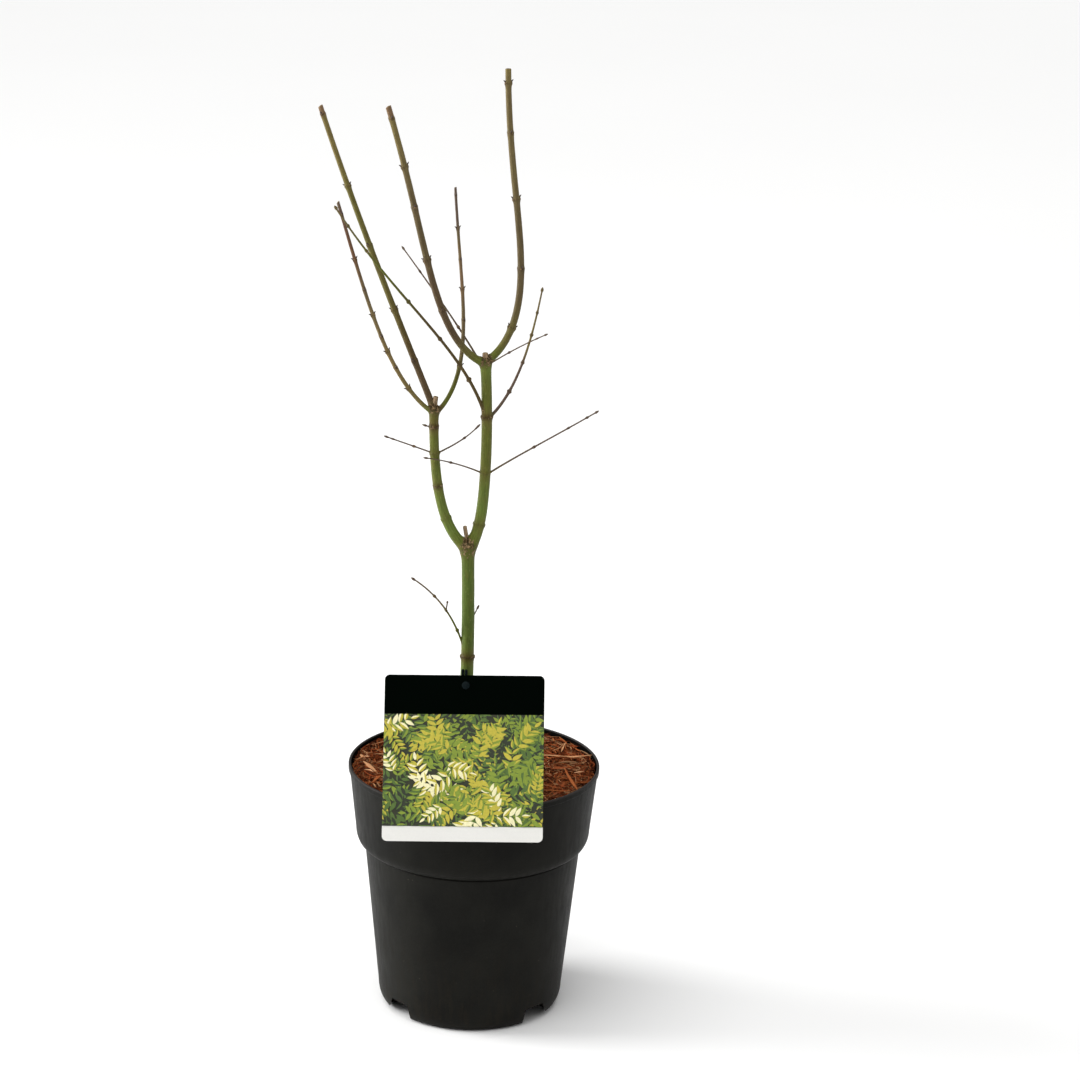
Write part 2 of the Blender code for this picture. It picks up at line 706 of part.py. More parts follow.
def tie_bar(loop, inner, place, collection):
    """Joins the strap's two runs in front of the trunk. The loop's middle is in the strap's plane."""
    half = inner - TIE_THICK / 4
    front = loop.y - inner - 2 * TIE_THICK
    back = loop.y - inner
    outline = ((loop.x - half, front), (loop.x + half, front), (loop.x + half, back),
               (loop.x - half, back))
    bar = flat_outline("bar", [outline], BAR_THICK, collection)
    bar.matrix_world = place
    return to_mesh(bar, collection)


def tie_lugs(centre, radius, collection):
    """Upright lugs with their foot in the bar, just clear of the trunk."""
    lugs = []
    for across in LUG_PLACES:
        forward = math.sqrt((radius + LUG_RADIUS / 2) ** 2 - across**2)
        middle = centre + Vector((across, -forward, LUG_HEIGHT / 2))
        lugs.append(cylinder("lug", LUG_RADIUS, LUG_HEIGHT, Matrix.Translation(middle), collection))
    return lugs


def make_tie(frame, hole, collection):
    """The button in front of the card, its shank through the hole and the strap round the trunk."""
    front = CARD_THICK / 2 + GAP + BUTTON_THICK
    button_place = hole + Vector((0, 0, front - BUTTON_THICK / 2))
    shank_place = hole + Vector((0, 0, (front - SHANK_LENGTH) / 2))
    button = cylinder("button", BUTTON_RADIUS, BUTTON_THICK,
                      frame @ Matrix.Translation(button_place), collection)
    shank = cylinder("shank", HOLE_RADIUS - GAP, front + SHANK_LENGTH,
                     frame @ Matrix.Translation(shank_place), collection)
    shank_end = frame @ (hole - Vector((0, 0, SHANK_LENGTH * STRAP_ON_SHANK)))
    trunk = LIMBS["trunk"]
    up_trunk = shank_end.z - TIE_DROP - SOIL_HEIGHT
    centre = point_at(trunk, up_trunk)
    inner = radius_at(trunk, up_trunk) + TIE_CLEARANCE
    run = centre.y - shank_end.y
    slope = math.atan2(TIE_DROP, run)
    loop = Vector((centre.x, shank_end.y + run / math.cos(slope), 0.0))
    outlines = [
        belt(loop, inner + TIE_THICK, shank_end, TIE_END_RADIUS + TIE_THICK),
        belt(loop, inner, shank_end, TIE_END_RADIUS),
    ]
    tie = flat_outline("label_tie", outlines, TIE_HEIGHT, collection)
    tilt = Matrix.Rotation(-slope, 4, "X")
    place = (Matrix.Translation(shank_end) @ tilt
             @ Matrix.Translation((-shank_end.x, -shank_end.y, 0.0)))
    tie.matrix_world = place
    front_parts = [tie_bar(loop, inner, place, collection)]
    front_parts += tie_lugs(centre, inner + TIE_THICK, collection)
    tie = boolean(to_mesh(tie, collection), "UNION", [button, shank] + front_parts)
    finish(tie, TIE_FINISH)


def main():
    clear_scene()
    collection = make_collection(COLLECTION)
    make_pot(collection)
    make_growing_medium(collection)
    for limbs, look in ((BOUGHS, GREEN_BARK), (SHOOTS, SHOOT_BARK), (TWIGS, TWIG_BARK)):
        for limb in limbs:
            make_limb(limb, look, collection)
    make_card(card_matrix(), hole_centre(), collection)
    make_tie(card_matrix(), hole_centre(), collection)


main()
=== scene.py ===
"""Potted full moon maple: the looks of the part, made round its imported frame.

Metres, +Z up, in the part's own frame. The label card faces -Y, which is the front. A limb's
heading is 0 towards +X and 90 towards +Y.
"""

import json
from collections import namedtuple
from contextlib import contextmanager
from math import acos, atan2, cos, degrees, pi, radians, sin, sqrt

import bmesh
import bpy
import numpy as np
from mathutils import Matrix, Vector

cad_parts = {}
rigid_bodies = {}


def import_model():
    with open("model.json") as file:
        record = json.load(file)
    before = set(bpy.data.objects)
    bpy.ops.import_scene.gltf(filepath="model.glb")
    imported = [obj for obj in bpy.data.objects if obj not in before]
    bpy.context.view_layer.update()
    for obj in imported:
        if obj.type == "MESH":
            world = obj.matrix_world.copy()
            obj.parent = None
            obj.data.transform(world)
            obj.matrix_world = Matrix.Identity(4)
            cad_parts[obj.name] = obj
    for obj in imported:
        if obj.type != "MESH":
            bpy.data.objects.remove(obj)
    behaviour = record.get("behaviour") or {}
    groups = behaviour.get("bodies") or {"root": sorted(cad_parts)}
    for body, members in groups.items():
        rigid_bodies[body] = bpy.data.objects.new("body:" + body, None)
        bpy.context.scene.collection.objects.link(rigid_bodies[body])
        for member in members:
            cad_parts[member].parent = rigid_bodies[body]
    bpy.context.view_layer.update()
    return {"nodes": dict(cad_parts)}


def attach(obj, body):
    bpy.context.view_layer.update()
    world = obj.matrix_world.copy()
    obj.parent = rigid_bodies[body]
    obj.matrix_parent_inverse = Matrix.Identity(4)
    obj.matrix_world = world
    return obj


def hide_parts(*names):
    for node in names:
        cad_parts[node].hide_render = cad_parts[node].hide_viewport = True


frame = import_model()

SEED = 20
GAP = 0.0003
WELD = 0.00001
CRISP_SMALL = 50  # faces that meet at more than this many degrees keep a crisp edge
CRISP_POT = 28
CRISP_CARD = 12
CRISP_TIE = 40

# Nursery pot, as in the frame
POT_HEIGHT = 0.205
RIM_RADIUS = 0.1012
LIP_HEIGHT = 0.0048
LIP_PROUD = 0.0011
LIP_ROUND = 0.0007
COLLAR_BOTTOM = 0.1510
COLLAR_BOTTOM_RADIUS = 0.0946
STEP_DROP = 0.0115
BODY_TOP_RADIUS = 0.0875
BODY_FOOT_HEIGHT = 0.0160
BODY_FOOT_RADIUS = 0.0747
FOOT_RADIUS = 0.0655
FOOT_RING = 0.0050
FOOT_SLOPE = 78.0
POT_WALL = 0.0016
FLOOR_BOTTOM = 0.0168
BOSS_RADIUS = 0.0140
GROOVE_DEPTH = 0.0010  # a dark groove runs round the body under the collar
GROOVE_HEIGHT = 0.0014
GROOVE_HANG = 0.0012  # the collar's lower edge overhangs it by this much
POT_STEPS = 192
ARC_STEPS = 10
HOLE_STEPS = 32
NOTCH_X = 0.0545
NOTCH_HEIGHT = 0.0150
NOTCH_TOP_WIDTH = 0.0130
NOTCH_BOTTOM_WIDTH = 0.0190
NOTCH_START = 0.0170
NOTCH_END = 0.0700
DRAIN_HOLES = 6
DRAIN_RADIUS = 0.0050
DRAIN_CIRCLE = 0.0400

# Limbs, by the frame's rule
SOIL_HEIGHT = 0.1965
SOIL_DROP = 0.0015
TRUNK_FOOT_X = -0.0124
PATH_STEP = 0.0005
COLLAR_FLARE = 0.16
FLARE_LENGTH = 1.5
NODE_SWELL = 0.14
BOUGH_NODE_SWELL = 0.065
NODE_BELOW = 0.0034  # the swelling fades over this length below a node, and over the next above
NODE_ABOVE = 0.0011
KNOT_SWELL = 0.55
KNOT_HALF = 0.0013
TIP_BUD_LENGTH = 0.0042
TIP_BUD_SWELL = 0.85
TIP_BUD_SKEW = 0.7
TIP_BUD_CLOSE = 0.75
TIP_BUD_NARROW = 4  # how late it narrows
TIP_BUD_POINT = 6  # how late the end bud closes to its point
TIP_BUD_END = 0.97
FRONT_PAIR_FIRST = ("right_inner_leader", "left_leader")

# Each limb: its parent and place along it, its heading, its leans from upright at the base, in the
# middle and at the tip in degrees, the length over which the base's lean fades, its own length, its
# widths at the base and the tip, and its nodes
Limb = namedtuple("Limb", "name parent at heading leans bend length widths nodes")
BOUGHS = (
    Limb("trunk", None, 0.000, 180, (-7.6, -1, 2), 0.050, 0.194, (0.0106, 0.0100), (0.100,)),
    Limb("left_bough", "trunk", 0.190, 186, (54, 6, -1), 0.030, 0.124, (0.0082, 0.0072),
         (0.032, 0.060, 0.087, 0.109)),
    Limb("right_bough", "trunk", 0.190, 6, (41, 6, -4), 0.014, 0.158, (0.0088, 0.0082),
         (0.023, 0.066, 0.112)),
)
SHOOTS = (
    Limb("right_leader", "right_bough", 0.156, 20, (60, -28, -2), 0.052, 0.242, (0.0058, 0.0046),
         (0.035, 0.083, 0.139, 0.192, 0.231)),
    Limb("right_inner_leader", "right_bough", 0.155, 200, (68, 5, 17), 0.039, 0.230,
         (0.0058, 0.0045), (0.060, 0.103, 0.147, 0.180, 0.220)),
    Limb("left_leader", "left_bough", 0.122, 160, (24, 26.6, 20.8), 0.046, 0.254, (0.0052, 0.0040),
         (0.042, 0.085, 0.139, 0.188, 0.247)),
    Limb("left_outer_shoot", "left_bough", 0.119, 205, (54, 13, 16), 0.052, 0.198,
         (0.0035, 0.0025), (0.032, 0.053, 0.068, 0.082, 0.101, 0.123, 0.149, 0.188)),
    Limb("left_inner_shoot", "left_bough", 0.118, 20, (52, -20, -5), 0.046, 0.189,
         (0.0037, 0.0020), (0.045, 0.082, 0.107, 0.131, 0.156, 0.183)),
)
TWIGS = (
    Limb("trunk_left_twig", "trunk", 0.100, 198, (27, 10, 56), 0.008, 0.086, (0.0018, 0.0012),
         (0.024, 0.044, 0.060)),
    Limb("trunk_right_spur", "trunk", 0.126, 18, (33, 29, 22), 0.039, 0.019, (0.0012, 0.0010), ()),
    Limb("left_bough_left_twig", "left_bough", 0.086, 192, (68, 72, 70), 0.038, 0.044,
         (0.0013, 0.0010), (0.018, 0.036)),
    Limb("left_bough_right_twig", "left_bough", 0.085, 12, (59, 77, 42), 0.009, 0.044,
         (0.0015, 0.0009), (0.027, 0.039)),
    Limb("left_bough_spur", "left_bough", 0.107, 180, (74, 74, 74), 0.040, 0.010,
         (0.0012, 0.0010), ()),
    Limb("right_bough_right_twig", "right_bough", 0.063, 14, (58, 70, 62), 0.045, 0.104,
         (0.0016, 0.0011), (0.045, 0.076, 0.093)),
    Limb("right_bough_left_twig", "right_bough", 0.064, 194, (63, 65, 82), 0.041, 0.053,
         (0.0014, 0.0009), (0.030,)),
    Limb("long_left_twig", "right_bough", 0.107, 213, (16, 72, 37), 0.082, 0.236,
         (0.0028, 0.0014), (0.041, 0.086, 0.130, 0.188, 0.215)),
    Limb("long_right_twig", "right_bough", 0.109, 33, (57, 10, 8), 0.044, 0.116,
         (0.0027, 0.0013), (0.029, 0.054, 0.077, 0.095)),
    Limb("fork_right_twig", "right_bough", 0.1525, 335, (53, 53, 62), 0.040, 0.064,
         (0.0012, 0.0009), (0.025, 0.053)),
    Limb("fork_left_twig", "right_bough", 0.1475, 155, (34, 41, 43), 0.039, 0.120,
         (0.0018, 0.0010), (0.042, 0.095)),
)
LIMBS = {limb.name: limb for limb in BOUGHS + SHOOTS + TWIGS}

# The dead stub at a limb's end: length, width, heading and lean in degrees
STUBS = {
    "trunk": (0.0150, 0.0034, 180, 10),
    "left_bough": (0.0090, 0.0042, 0, 8),
    "right_bough": (0.0056, 0.0048, 180, 3),
}
STUB_SUNK = 0.0030  # below its foot
STUB_TAPER = 0.10
STUB_FLARE = 0.55
STUB_FLARE_LENGTH = 0.0016
STUB_RIBS = 3.5  # its ribs, for a limb's ribs of 1
STUB_WRINKLE = 0.05  # share of the half width, for its ribs' grooves and its rings
STUB_WRINKLE_LENGTH = 0.00075
STUB_WRINKLE_SWAY = 1.5
STUB_GROOVE_DARK = 0.6
STUB_GROOVE_WORN = 0.45
STUB_FOOT_WORN = 0.3
SPRIG_NODE = 1
SPRIG_PATH = {0: (0, 0, 0), 0.55: (0.0008, -0.0010, 0.0050), 1: (0.0012, -0.0014, 0.0085)}
SPRIG_LENGTH = 0.009
SPRIG_RADIUS = 0.00055
SPRIG_BUD = (0.00045, 0.85, 0.10)  # how much wider the bud is, where it is and half its length
SPRIG_POINT = 0.00054
SPRIG_CLOSE = 14  # how late it closes to its point

# Each kind of limb: slot, limbs, spacing of the rings and number of sides, and size of the buds
KINDS = {
    "bough": ("green_bark", BOUGHS, (0.0005, 56), 0.60),
    "shoot": ("shoot_bark", SHOOTS, (0.0006, 36), 1.0),
    "twig": ("twig_bark", TWIGS, (0.0004, 16), 0.50),
}
TRUNK_GRID = (0.0005, 64)
STUB_GRID = (0.0003, 28)
SPRIG_GRID = (24, 12)

# Bark relief, in metres unless it says otherwise
RIB_WAVES = (2, 3, 5, 9, 14)  # low ribs round a limb
RIB_SHARE = 0.010  # of the half width
RIB_FALL = 0.4  # the more ribs a wave has, the lower they are
RIB_DRIFT = (0.020, 0.055)  # length over which a rib wanders
RIB_WANDER = 1.3  # radians
FINE_RADIUS = 0.0030  # node marks grow with a limb up to this half width
FINE_MOST = 1.2
NODE_LINE_HALF = 0.00030
NODE_LINE_HEIGHT = 0.00010
NODE_STAIN_HALF = 0.00066
NODE_STAIN = 0.55
SCAR_HALF = 0.00035
SCAR_HEIGHT = 0.00022
SCAR_DROP = 0.0011
SCAR_CURVE = 0.0011
SCAR_SPREAD = 0.95  # radians
SCAR_DARK = 0.5
SHELF_BELOW = 0.00204
SHELF_ABOVE = 0.00077
SHELF_SPREAD = 0.62
SHELF_DARK = 0.35
SHELF_SHARE = 0.20
BOUGH_SHELF_SHARE = 0.10
SPECK_AREA = 0.000030  # one pale bark pore for each such patch
SPECK_HALF_LENGTH = 0.00055
SPECK_HALF_WIDTH = 0.00022
SPECK_HEIGHT = 0.00007
SPECK_SIZES = (0.6, 1.3)
SPECK_FROM = 0.004
CUT_RAMP = 0.0050  # a slanting cut is reached over this length

# Where limbs meet, their bark swells into one smooth web and their tones blend
WEB_ZONE = 0.022
WEB_STEP = 0.0010
WEB_SHARE = 1.15  # reach of the web, for the thinner limb's half width of 1
WEB_RISE = 0.25
SEAM_WORN = 0.50
SEAM_DARK = 0.50
FORK_SEAM = 0.35  # share of the dark where two boughs part
CROTCH_WORN = 1.05  # bark is corky round a dead stub, out to this many widths of its bough
CROTCH_CLEAR = 1.4
NODE_WORN = 0.75
NODE_BAND = 0.0030  # half the height of the corky ring at a bough's node
BAND_WORN = 0.24
BAND_BROWN = 2.5  # how brown the ring is, for its wear of 1
BAND_BROWN_MOST = 0.9
HAZE_HALF = 0.0065  # the bark is brownish this far from it
HAZE_SHARE = 0.55
HAZE_MOST = 0.8
MARKS_DARK = 0.6
SPECKS_PALE = 0.5

# How worn and swollen each node of a bough is
NODE_WEAR = {"trunk": (1.3,), "left_bough": (0.2, 0.9, 0.5, 1.7), "right_bough": (0.5, 0.4, 1.5)}

# Slant of each cut tip, as a share of its width, and the side it faces in radians
CUT_SLANT = {"right_inner_leader": (0.35, 0.6), "left_leader": (0.35, 2.0),
             "left_outer_shoot": (0.6, 1.0), "left_inner_shoot": (0.3, 4.0)}

# The rim of bark, the wood and the pith of a cut tip: distance from the end and share of the width
CUT_END = ((0.00012, 0.985), (0.00002, 0.93), (0.0, 0.86), (0.00010, 0.80), (0.00004, 0.60),
           (0.00006, 0.34), (0.00035, 0.24), (0.00055, 0.03))
CUT_WOOD_FROM = 3  # the first of those rings that is bare wood
CUT_PITH_FROM = 6
DOME_TURNS = (20, 40, 58, 74, 86)  # degrees, of the rings that close a limb with no cut
BOUGH_DOME = 0.55  # its height, for the limb's half width of 1
TWIG_DOME = 0.2


def srgb(red, green, blue):
    """A colour given as a screen shows it, 0 to 255, in the linear values that shaders take."""
    values = np.array((red, green, blue)) / 255
    return np.where(values <= 0.04045, values / 12.92, ((values + 0.055) / 1.055) ** 2.4)


# Bark tones
GREEN = srgb(92, 108, 44)
DEEP_GREEN = srgb(78, 94, 34)
OLIVE = srgb(88, 93, 33)
DEEP_OLIVE = srgb(82, 80, 28)
KHAKI = srgb(112, 99, 56)
DRAB = srgb(104, 90, 62)
PLUM = srgb(92, 76, 64)
RUSSET = srgb(104, 72, 50)
TAN = srgb(118, 100, 62)
FAWN = srgb(103, 90, 57)
TAUPE = srgb(92, 79, 52)
EARTH = srgb(80, 66, 36)
HAZE = srgb(100, 90, 42)
BARK_BROWN = srgb(84, 68, 46)
MOSS = srgb(96, 90, 44)
UMBER = srgb(66, 50, 34)
CORK = srgb(118, 94, 68)
DEAD_WOOD = srgb(150, 127, 100)
CUT_WOOD = 0.62 * srgb(150, 128, 88)
CUT_PITH = 0.7 * srgb(100, 70, 44)
STUB_WOOD = 0.7 * srgb(150, 128, 88)
KNOT = srgb(62, 44, 26)
PORE = srgb(140, 142, 88)
BUD_BROWN = srgb(66, 50, 42)
BUD_DARK = srgb(58, 42, 36)
WORN_DARK = srgb(50, 34, 14)
WORN_PALE = srgb(152, 125, 90)
NODE_BROWN = srgb(62, 48, 14)

# Each bark: tone and share of its patches, share of its dots, least and most roughness
BARKS = {
    "green_bark": (HAZE, 0.45, 0.6, 0.42, 0.60),
    "shoot_bark": (UMBER, 0.30, 0.5, 0.45, 0.62),
    "twig_bark": (UMBER, 0.25, 0.2, 0.50, 0.68),
    "stub_bark": (UMBER, 0.40, 0.5, 0.70, 0.88),
}

# Tones of plastic and floor, already linear
POT_BLACK = (0.006, 0.006, 0.006)
POT_DARK = (0.0054, 0.0053, 0.0043)
POT_PALE = (0.0090, 0.0088, 0.0070)
POT_STAIN = (0.018, 0.014, 0.009)
POT_DUST = (0.12, 0.10, 0.075)
# A painted highlight along the top of the lip
POT_RIM_HIGHLIGHT = (0.034, 0.030, 0.028)
# Painted shade: inside the rim the wall is painted nearly black, with faint brownish mottles
WALL_BLACK = (0.002, 0.002, 0.002)
WALL_DARK = (0.0012, 0.0012, 0.0011)
WALL_SHADE_BROWN = (0.0045, 0.0034, 0.0026)
TIE_BLACK = (0.003, 0.007, 0.008)
TIE_DARK = (0.003, 0.006, 0.007)
TIE_PALE = (0.006, 0.010, 0.011)
FLOOR_WHITE = (0.92, 0.92, 0.915)
FLOOR_DARK = (0.915, 0.915, 0.91)
FLOOR_PALE = (0.925, 0.925, 0.92)

# Each limb's tones and the shares of its length where they stand
TONES = {
    "trunk": {0: GREEN, 0.52: GREEN, 0.66: DEEP_GREEN, 0.90: DEEP_GREEN, 1: OLIVE},
    "left_bough": {0: OLIVE, 0.20: GREEN, 0.86: OLIVE, 0.92: DEEP_OLIVE, 1: DEEP_OLIVE},
    "right_bough": {0: OLIVE, 0.25: GREEN, 0.45: OLIVE, 0.85: OLIVE, 1: GREEN},
    "right_leader": {0: OLIVE, 0.04: OLIVE, 0.09: MOSS, 0.24: TAUPE, 0.50: TAUPE, 0.64: FAWN,
                     0.95: FAWN, 1: KHAKI},
    "right_inner_leader": {0: OLIVE, 0.03: OLIVE, 0.08: MOSS, 0.16: BARK_BROWN, 0.38: BARK_BROWN,
                           0.48: TAUPE, 0.64: TAUPE, 0.76: FAWN, 0.95: KHAKI, 0.97: CORK},
    "left_leader": {0: BARK_BROWN, 0.10: BARK_BROWN, 0.22: EARTH, 0.45: MOSS, 0.70: MOSS,
                    0.85: KHAKI, 0.96: KHAKI, 0.975: CORK},
    "left_outer_shoot": {0: GREEN, 0.08: KHAKI, 0.30: TAN, 0.60: DRAB, 0.80: RUSSET, 1: PLUM},
    "left_inner_shoot": {0: UMBER, 0.03: EARTH, 0.07: OLIVE, 0.18: DEEP_OLIVE, 0.30: DRAB,
                         0.48: DRAB, 0.60: CORK, 0.80: DRAB, 0.85: PLUM, 1: PLUM},
    "trunk_left_twig": {0: OLIVE, 0.4: OLIVE, 0.6: DRAB, 1: PLUM},
    "long_left_twig": {0: EARTH, 0.45: EARTH, 0.7: OLIVE, 1: DRAB},
    "long_right_twig": {0: OLIVE, 0.08: PLUM, 0.45: PLUM, 0.60: KHAKI, 1: DRAB},
}
TWIG_TONES = {0: DRAB, 0.3: PLUM, 1: PLUM}
STUB_TONES = {0: CORK, 0.4: DEAD_WOOD, 1: DEAD_WOOD}

# Buds
BUD_LENGTH = 0.0042
BUD_LEAN = 44.0
BUD_WIDTH = 0.52
BUD_SEAT = 0.58
BUD_SUNK = 0.0005
BUD_LEAST = 0.55  # a bud's share of the full length on the thinnest limb
BUD_GROWTH = 0.0060
BUD_RINGS = 9
BUD_SIDES = 12
BUD_FLAT = 0.82  # how much a bud is flattened against its shoot
BUD_POINT = 0.985
BUD_TAPER = 0.75
BUD_BELLY = (0.75, 0.9)  # width at its foot, and gain from there to its tip
SCALE_EDGE = 0.5  # how far up a bud its outer scales reach
SCALE_PROUD = 0.16
SCALE_WAVE = 0.25
SCALE_FADE = 0.12
FORK_BUDS = ((0.0015, 40), (0.0030, 140), (0.0022, 215), (0.0012, 320))  # back from the end, turn


# Meshes

def add_object(name, data):
    obj = bpy.data.objects.new(name, data)
    bpy.context.scene.collection.objects.link(obj)
    return obj


def make_mesh(name, points, faces):
    mesh = bpy.data.meshes.new(name)
    mesh.from_pydata(points.reshape(-1, 3).tolist(), [], faces)
    mesh.update()
    return mesh


@contextmanager
def edited(mesh):
    """A mesh in the form that bmesh edits, written back at the end."""
    bm = bmesh.new()
    bm.from_mesh(mesh)
    yield bm
    bm.to_mesh(mesh)
    bm.free()


def to_mesh(obj):
    """The object's evaluated shape as a mesh object of the same name, with its caps welded."""
    bpy.context.view_layer.update()
    evaluated = obj.evaluated_get(bpy.context.evaluated_depsgraph_get())
    mesh = bpy.data.meshes.new_from_object(evaluated)
    with edited(mesh) as bm:
        bmesh.ops.remove_doubles(bm, verts=bm.verts, dist=WELD)
    name = obj.name
    place = obj.matrix_world.copy()
    bpy.data.objects.remove(obj, do_unlink=True)
    made = add_object(name, mesh)
    made.matrix_world = place
    return made


def shade_round(obj, angle):
    obj.data.shade_smooth()
    obj.data.set_sharp_from_angle(angle=radians(angle))


def dress(obj, look, slot, *replaced):
    """Gives a finished piece its material and its body, and hides the nodes that it stands for. Its
    slot is not used.
    """
    if not obj.data.materials:
        obj.data.materials.append(look)
    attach(obj, "root")
    if replaced:
        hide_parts(*replaced)


def closed_grid_faces(rings, sides):
    """Quads between rings of points, all the way round, and a face over each end."""
    last = (rings - 1) * sides
    ring = np.arange(rings - 1)[:, None] * sides
    side = np.arange(sides)[None, :]
    after = (side + 1) % sides
    quads = np.stack([ring + side, ring + after, ring + sides + after, ring + sides + side], -1)
    ends = [list(range(sides))[::-1], list(range(last, last + sides))]
    return quads.reshape(-1, 4).tolist() + ends


def joined_grids(name, grids):
    """Many small closed grids of one size as a single mesh object."""
    rings, sides, _ = grids[0].shape
    single = closed_grid_faces(rings, sides)
    count = rings * sides
    faces = [[corner + k * count for corner in face] for k in range(len(grids)) for face in single]
    obj = add_object(name, make_mesh(name, np.array(grids), faces))
    shade_round(obj, CRISP_SMALL)
    return obj


def hump(distance, half):
    """1 where the distance is 0, fading over this half width."""
    return np.exp(-((distance / half) ** 2))


def ring_turns(sides):
    """The turns of a ring's points, as a row."""
    return np.linspace(0, 2 * pi, sides, endpoint=False)[None, :]


def ring_out(around, first, second):
    """Unit vectors at these turns, from the first direction towards the second."""
    return np.cos(around)[..., None] * first + np.sin(around)[..., None] * second


# Materials

class Look:
    """A node material on one Principled shader, with short calls for the nodes it needs."""

    def __init__(self, name, colour, roughness, specular):
        self.material = bpy.data.materials.new(name)
        self.material.use_nodes = True
        self.tree = self.material.node_tree
        self.shader = self.tree.nodes["Principled BSDF"].inputs
        self.put(self.shader, {"Base Color": (*colour, 1.0), "Roughness": roughness,
                               "Specular IOR Level": specular})

    def put(self, inputs, values):
        """Links other nodes' outputs to these inputs, and sets plain values on them."""
        for key, value in values.items():
            if isinstance(value, bpy.types.NodeSocket):
                self.tree.links.new(value, inputs[key])
            elif value is not None:
                inputs[key].default_value = value

    def node(self, kind, output, values, **settings):
        """An output of a new node with these inputs and settings."""
        node = self.tree.nodes.new("ShaderNode" + kind)
        for key, value in settings.items():
            setattr(node, key, value)
        self.put(node.inputs, values)
        return node.outputs[output]

    def attribute(self, name, output="Vector"):
        return self.node("Attribute", output, {}, attribute_name=name)

    def object_place(self):
        return self.node("TexCoord", "Object", {})

    def stretched(self, vector, share):
        """The place with its third part made smaller, so that a noise is stretched along it."""
        return self.node("Mapping", "Vector", {"Vector": vector, "Scale": (1, 1, share)})

    def noise(self, vector, scale, detail=3.0, roughness=0.5):
        return self.node("TexNoise", "Fac", {"Vector": vector, "Scale": scale, "Detail": detail,
                                             "Roughness": roughness})

    def specks(self, vector, scale, size):
        """1 on small dots scattered in space, one to a cell, and 0 elsewhere."""
        distance = self.node("TexVoronoi", "Distance", {"Vector": vector, "Scale": scale})
        return self.span(distance, size, size / 2)

    def span(self, value, low, high, to_low=0.0, to_high=1.0):
        """Maps the range low to high onto to_low to to_high, and holds it there."""
        return self.node("MapRange", "Result", {"Value": value, "From Min": low, "From Max": high,
                                                "To Min": to_low, "To Max": to_high})

    def math(self, operation, first, second):
        return self.node("Math", "Value", {0: first, 1: second}, operation=operation)

    def blend(self, factor, first, second):
        """From the first tone to the second, each an output or a plain colour."""
        first, second = (tone if isinstance(tone, bpy.types.NodeSocket) else (*tone, 1.0)
                         for tone in (first, second))
        return self.node("Mix", "Result", {"Factor": factor, "A": first, "B": second},
                         data_type="RGBA")

    def shade(self, colour, value):
        """The colour made lighter or darker by a value round 1."""
        return self.node("HueSaturation", "Color", {"Color": colour, "Value": value})

    def bump(self, height, distance, strength=1.0, under=None):
        return self.node("Bump", "Normal", {"Height": height, "Distance": distance,
                                            "Strength": strength, "Normal": under})

    def finish(self, colour, roughness=None, normal=None):
        """Links what varies over the surface. The rest keeps its value on the shader."""
        self.put(self.shader, {"Base Color": colour, "Roughness": roughness, "Normal": normal})
        return self.material

    def mottled(self, noise, low, tones, roughness=None, relief=None):
        """Finishes a look whose tone, roughness and relief all follow one noise."""
        mottle = self.noise(self.object_place(), *noise)
        tone = self.blend(self.span(mottle, low, 1 - low), *tones)
        gloss = self.span(mottle, 0.3, 0.7, *roughness) if roughness else None
        return self.finish(tone, gloss, self.bump(mottle, *relief) if relief else None)


def bark_look(name, patch, patch_share, dots, smooth, rough):
    """Bark whose tone comes with the mesh, with streaks, patches, dark dots and corky places."""
    look = Look(name, GREEN, (smooth + rough) / 2, 0.14)
    place = look.attribute("bark_place")
    streaks = look.noise(look.stretched(place, 0.10), 1100, 4, 0.6)
    patches = look.noise(look.stretched(place, 0.35), 210, 4, 0.6)
    crumbs = look.noise(look.stretched(place, 0.80), 620, 5, 0.7)
    grain = look.noise(place, 3200, 2)
    tone = look.attribute("bark_tone", "Color")
    tone = look.blend(look.span(patches, 0.50, 0.72, 0.0, patch_share), tone, patch)
    tone = look.shade(tone, look.span(streaks, 0.30, 0.72, 0.72, 1.24))
    tone = look.shade(tone, look.span(grain, 0.30, 0.70, 0.92, 1.08))
    tone = look.blend(look.math("MULTIPLY", look.specks(place, 300, 0.10), dots), tone, WORN_DARK)
    wear = look.attribute("bark_worn", "Fac")
    worn = look.math("ADD", wear, look.span(crumbs, 0.3, 0.7, -0.4, 0.4))
    worn = look.span(worn, 0.44, 0.60, 0.0, 0.92)
    cork = look.blend(look.span(crumbs, 0.50, 0.63), WORN_DARK, WORN_PALE)
    tone = look.blend(worn, tone, cork)
    normal = look.bump(grain, 0.00006, 0.5)
    normal = look.bump(streaks, 0.00016, 0.6, normal)
    normal = look.bump(look.math("MULTIPLY", worn, crumbs), 0.0006, 0.8, normal)
    return look.finish(tone, look.span(streaks, 0.3, 0.7, smooth, rough), normal)


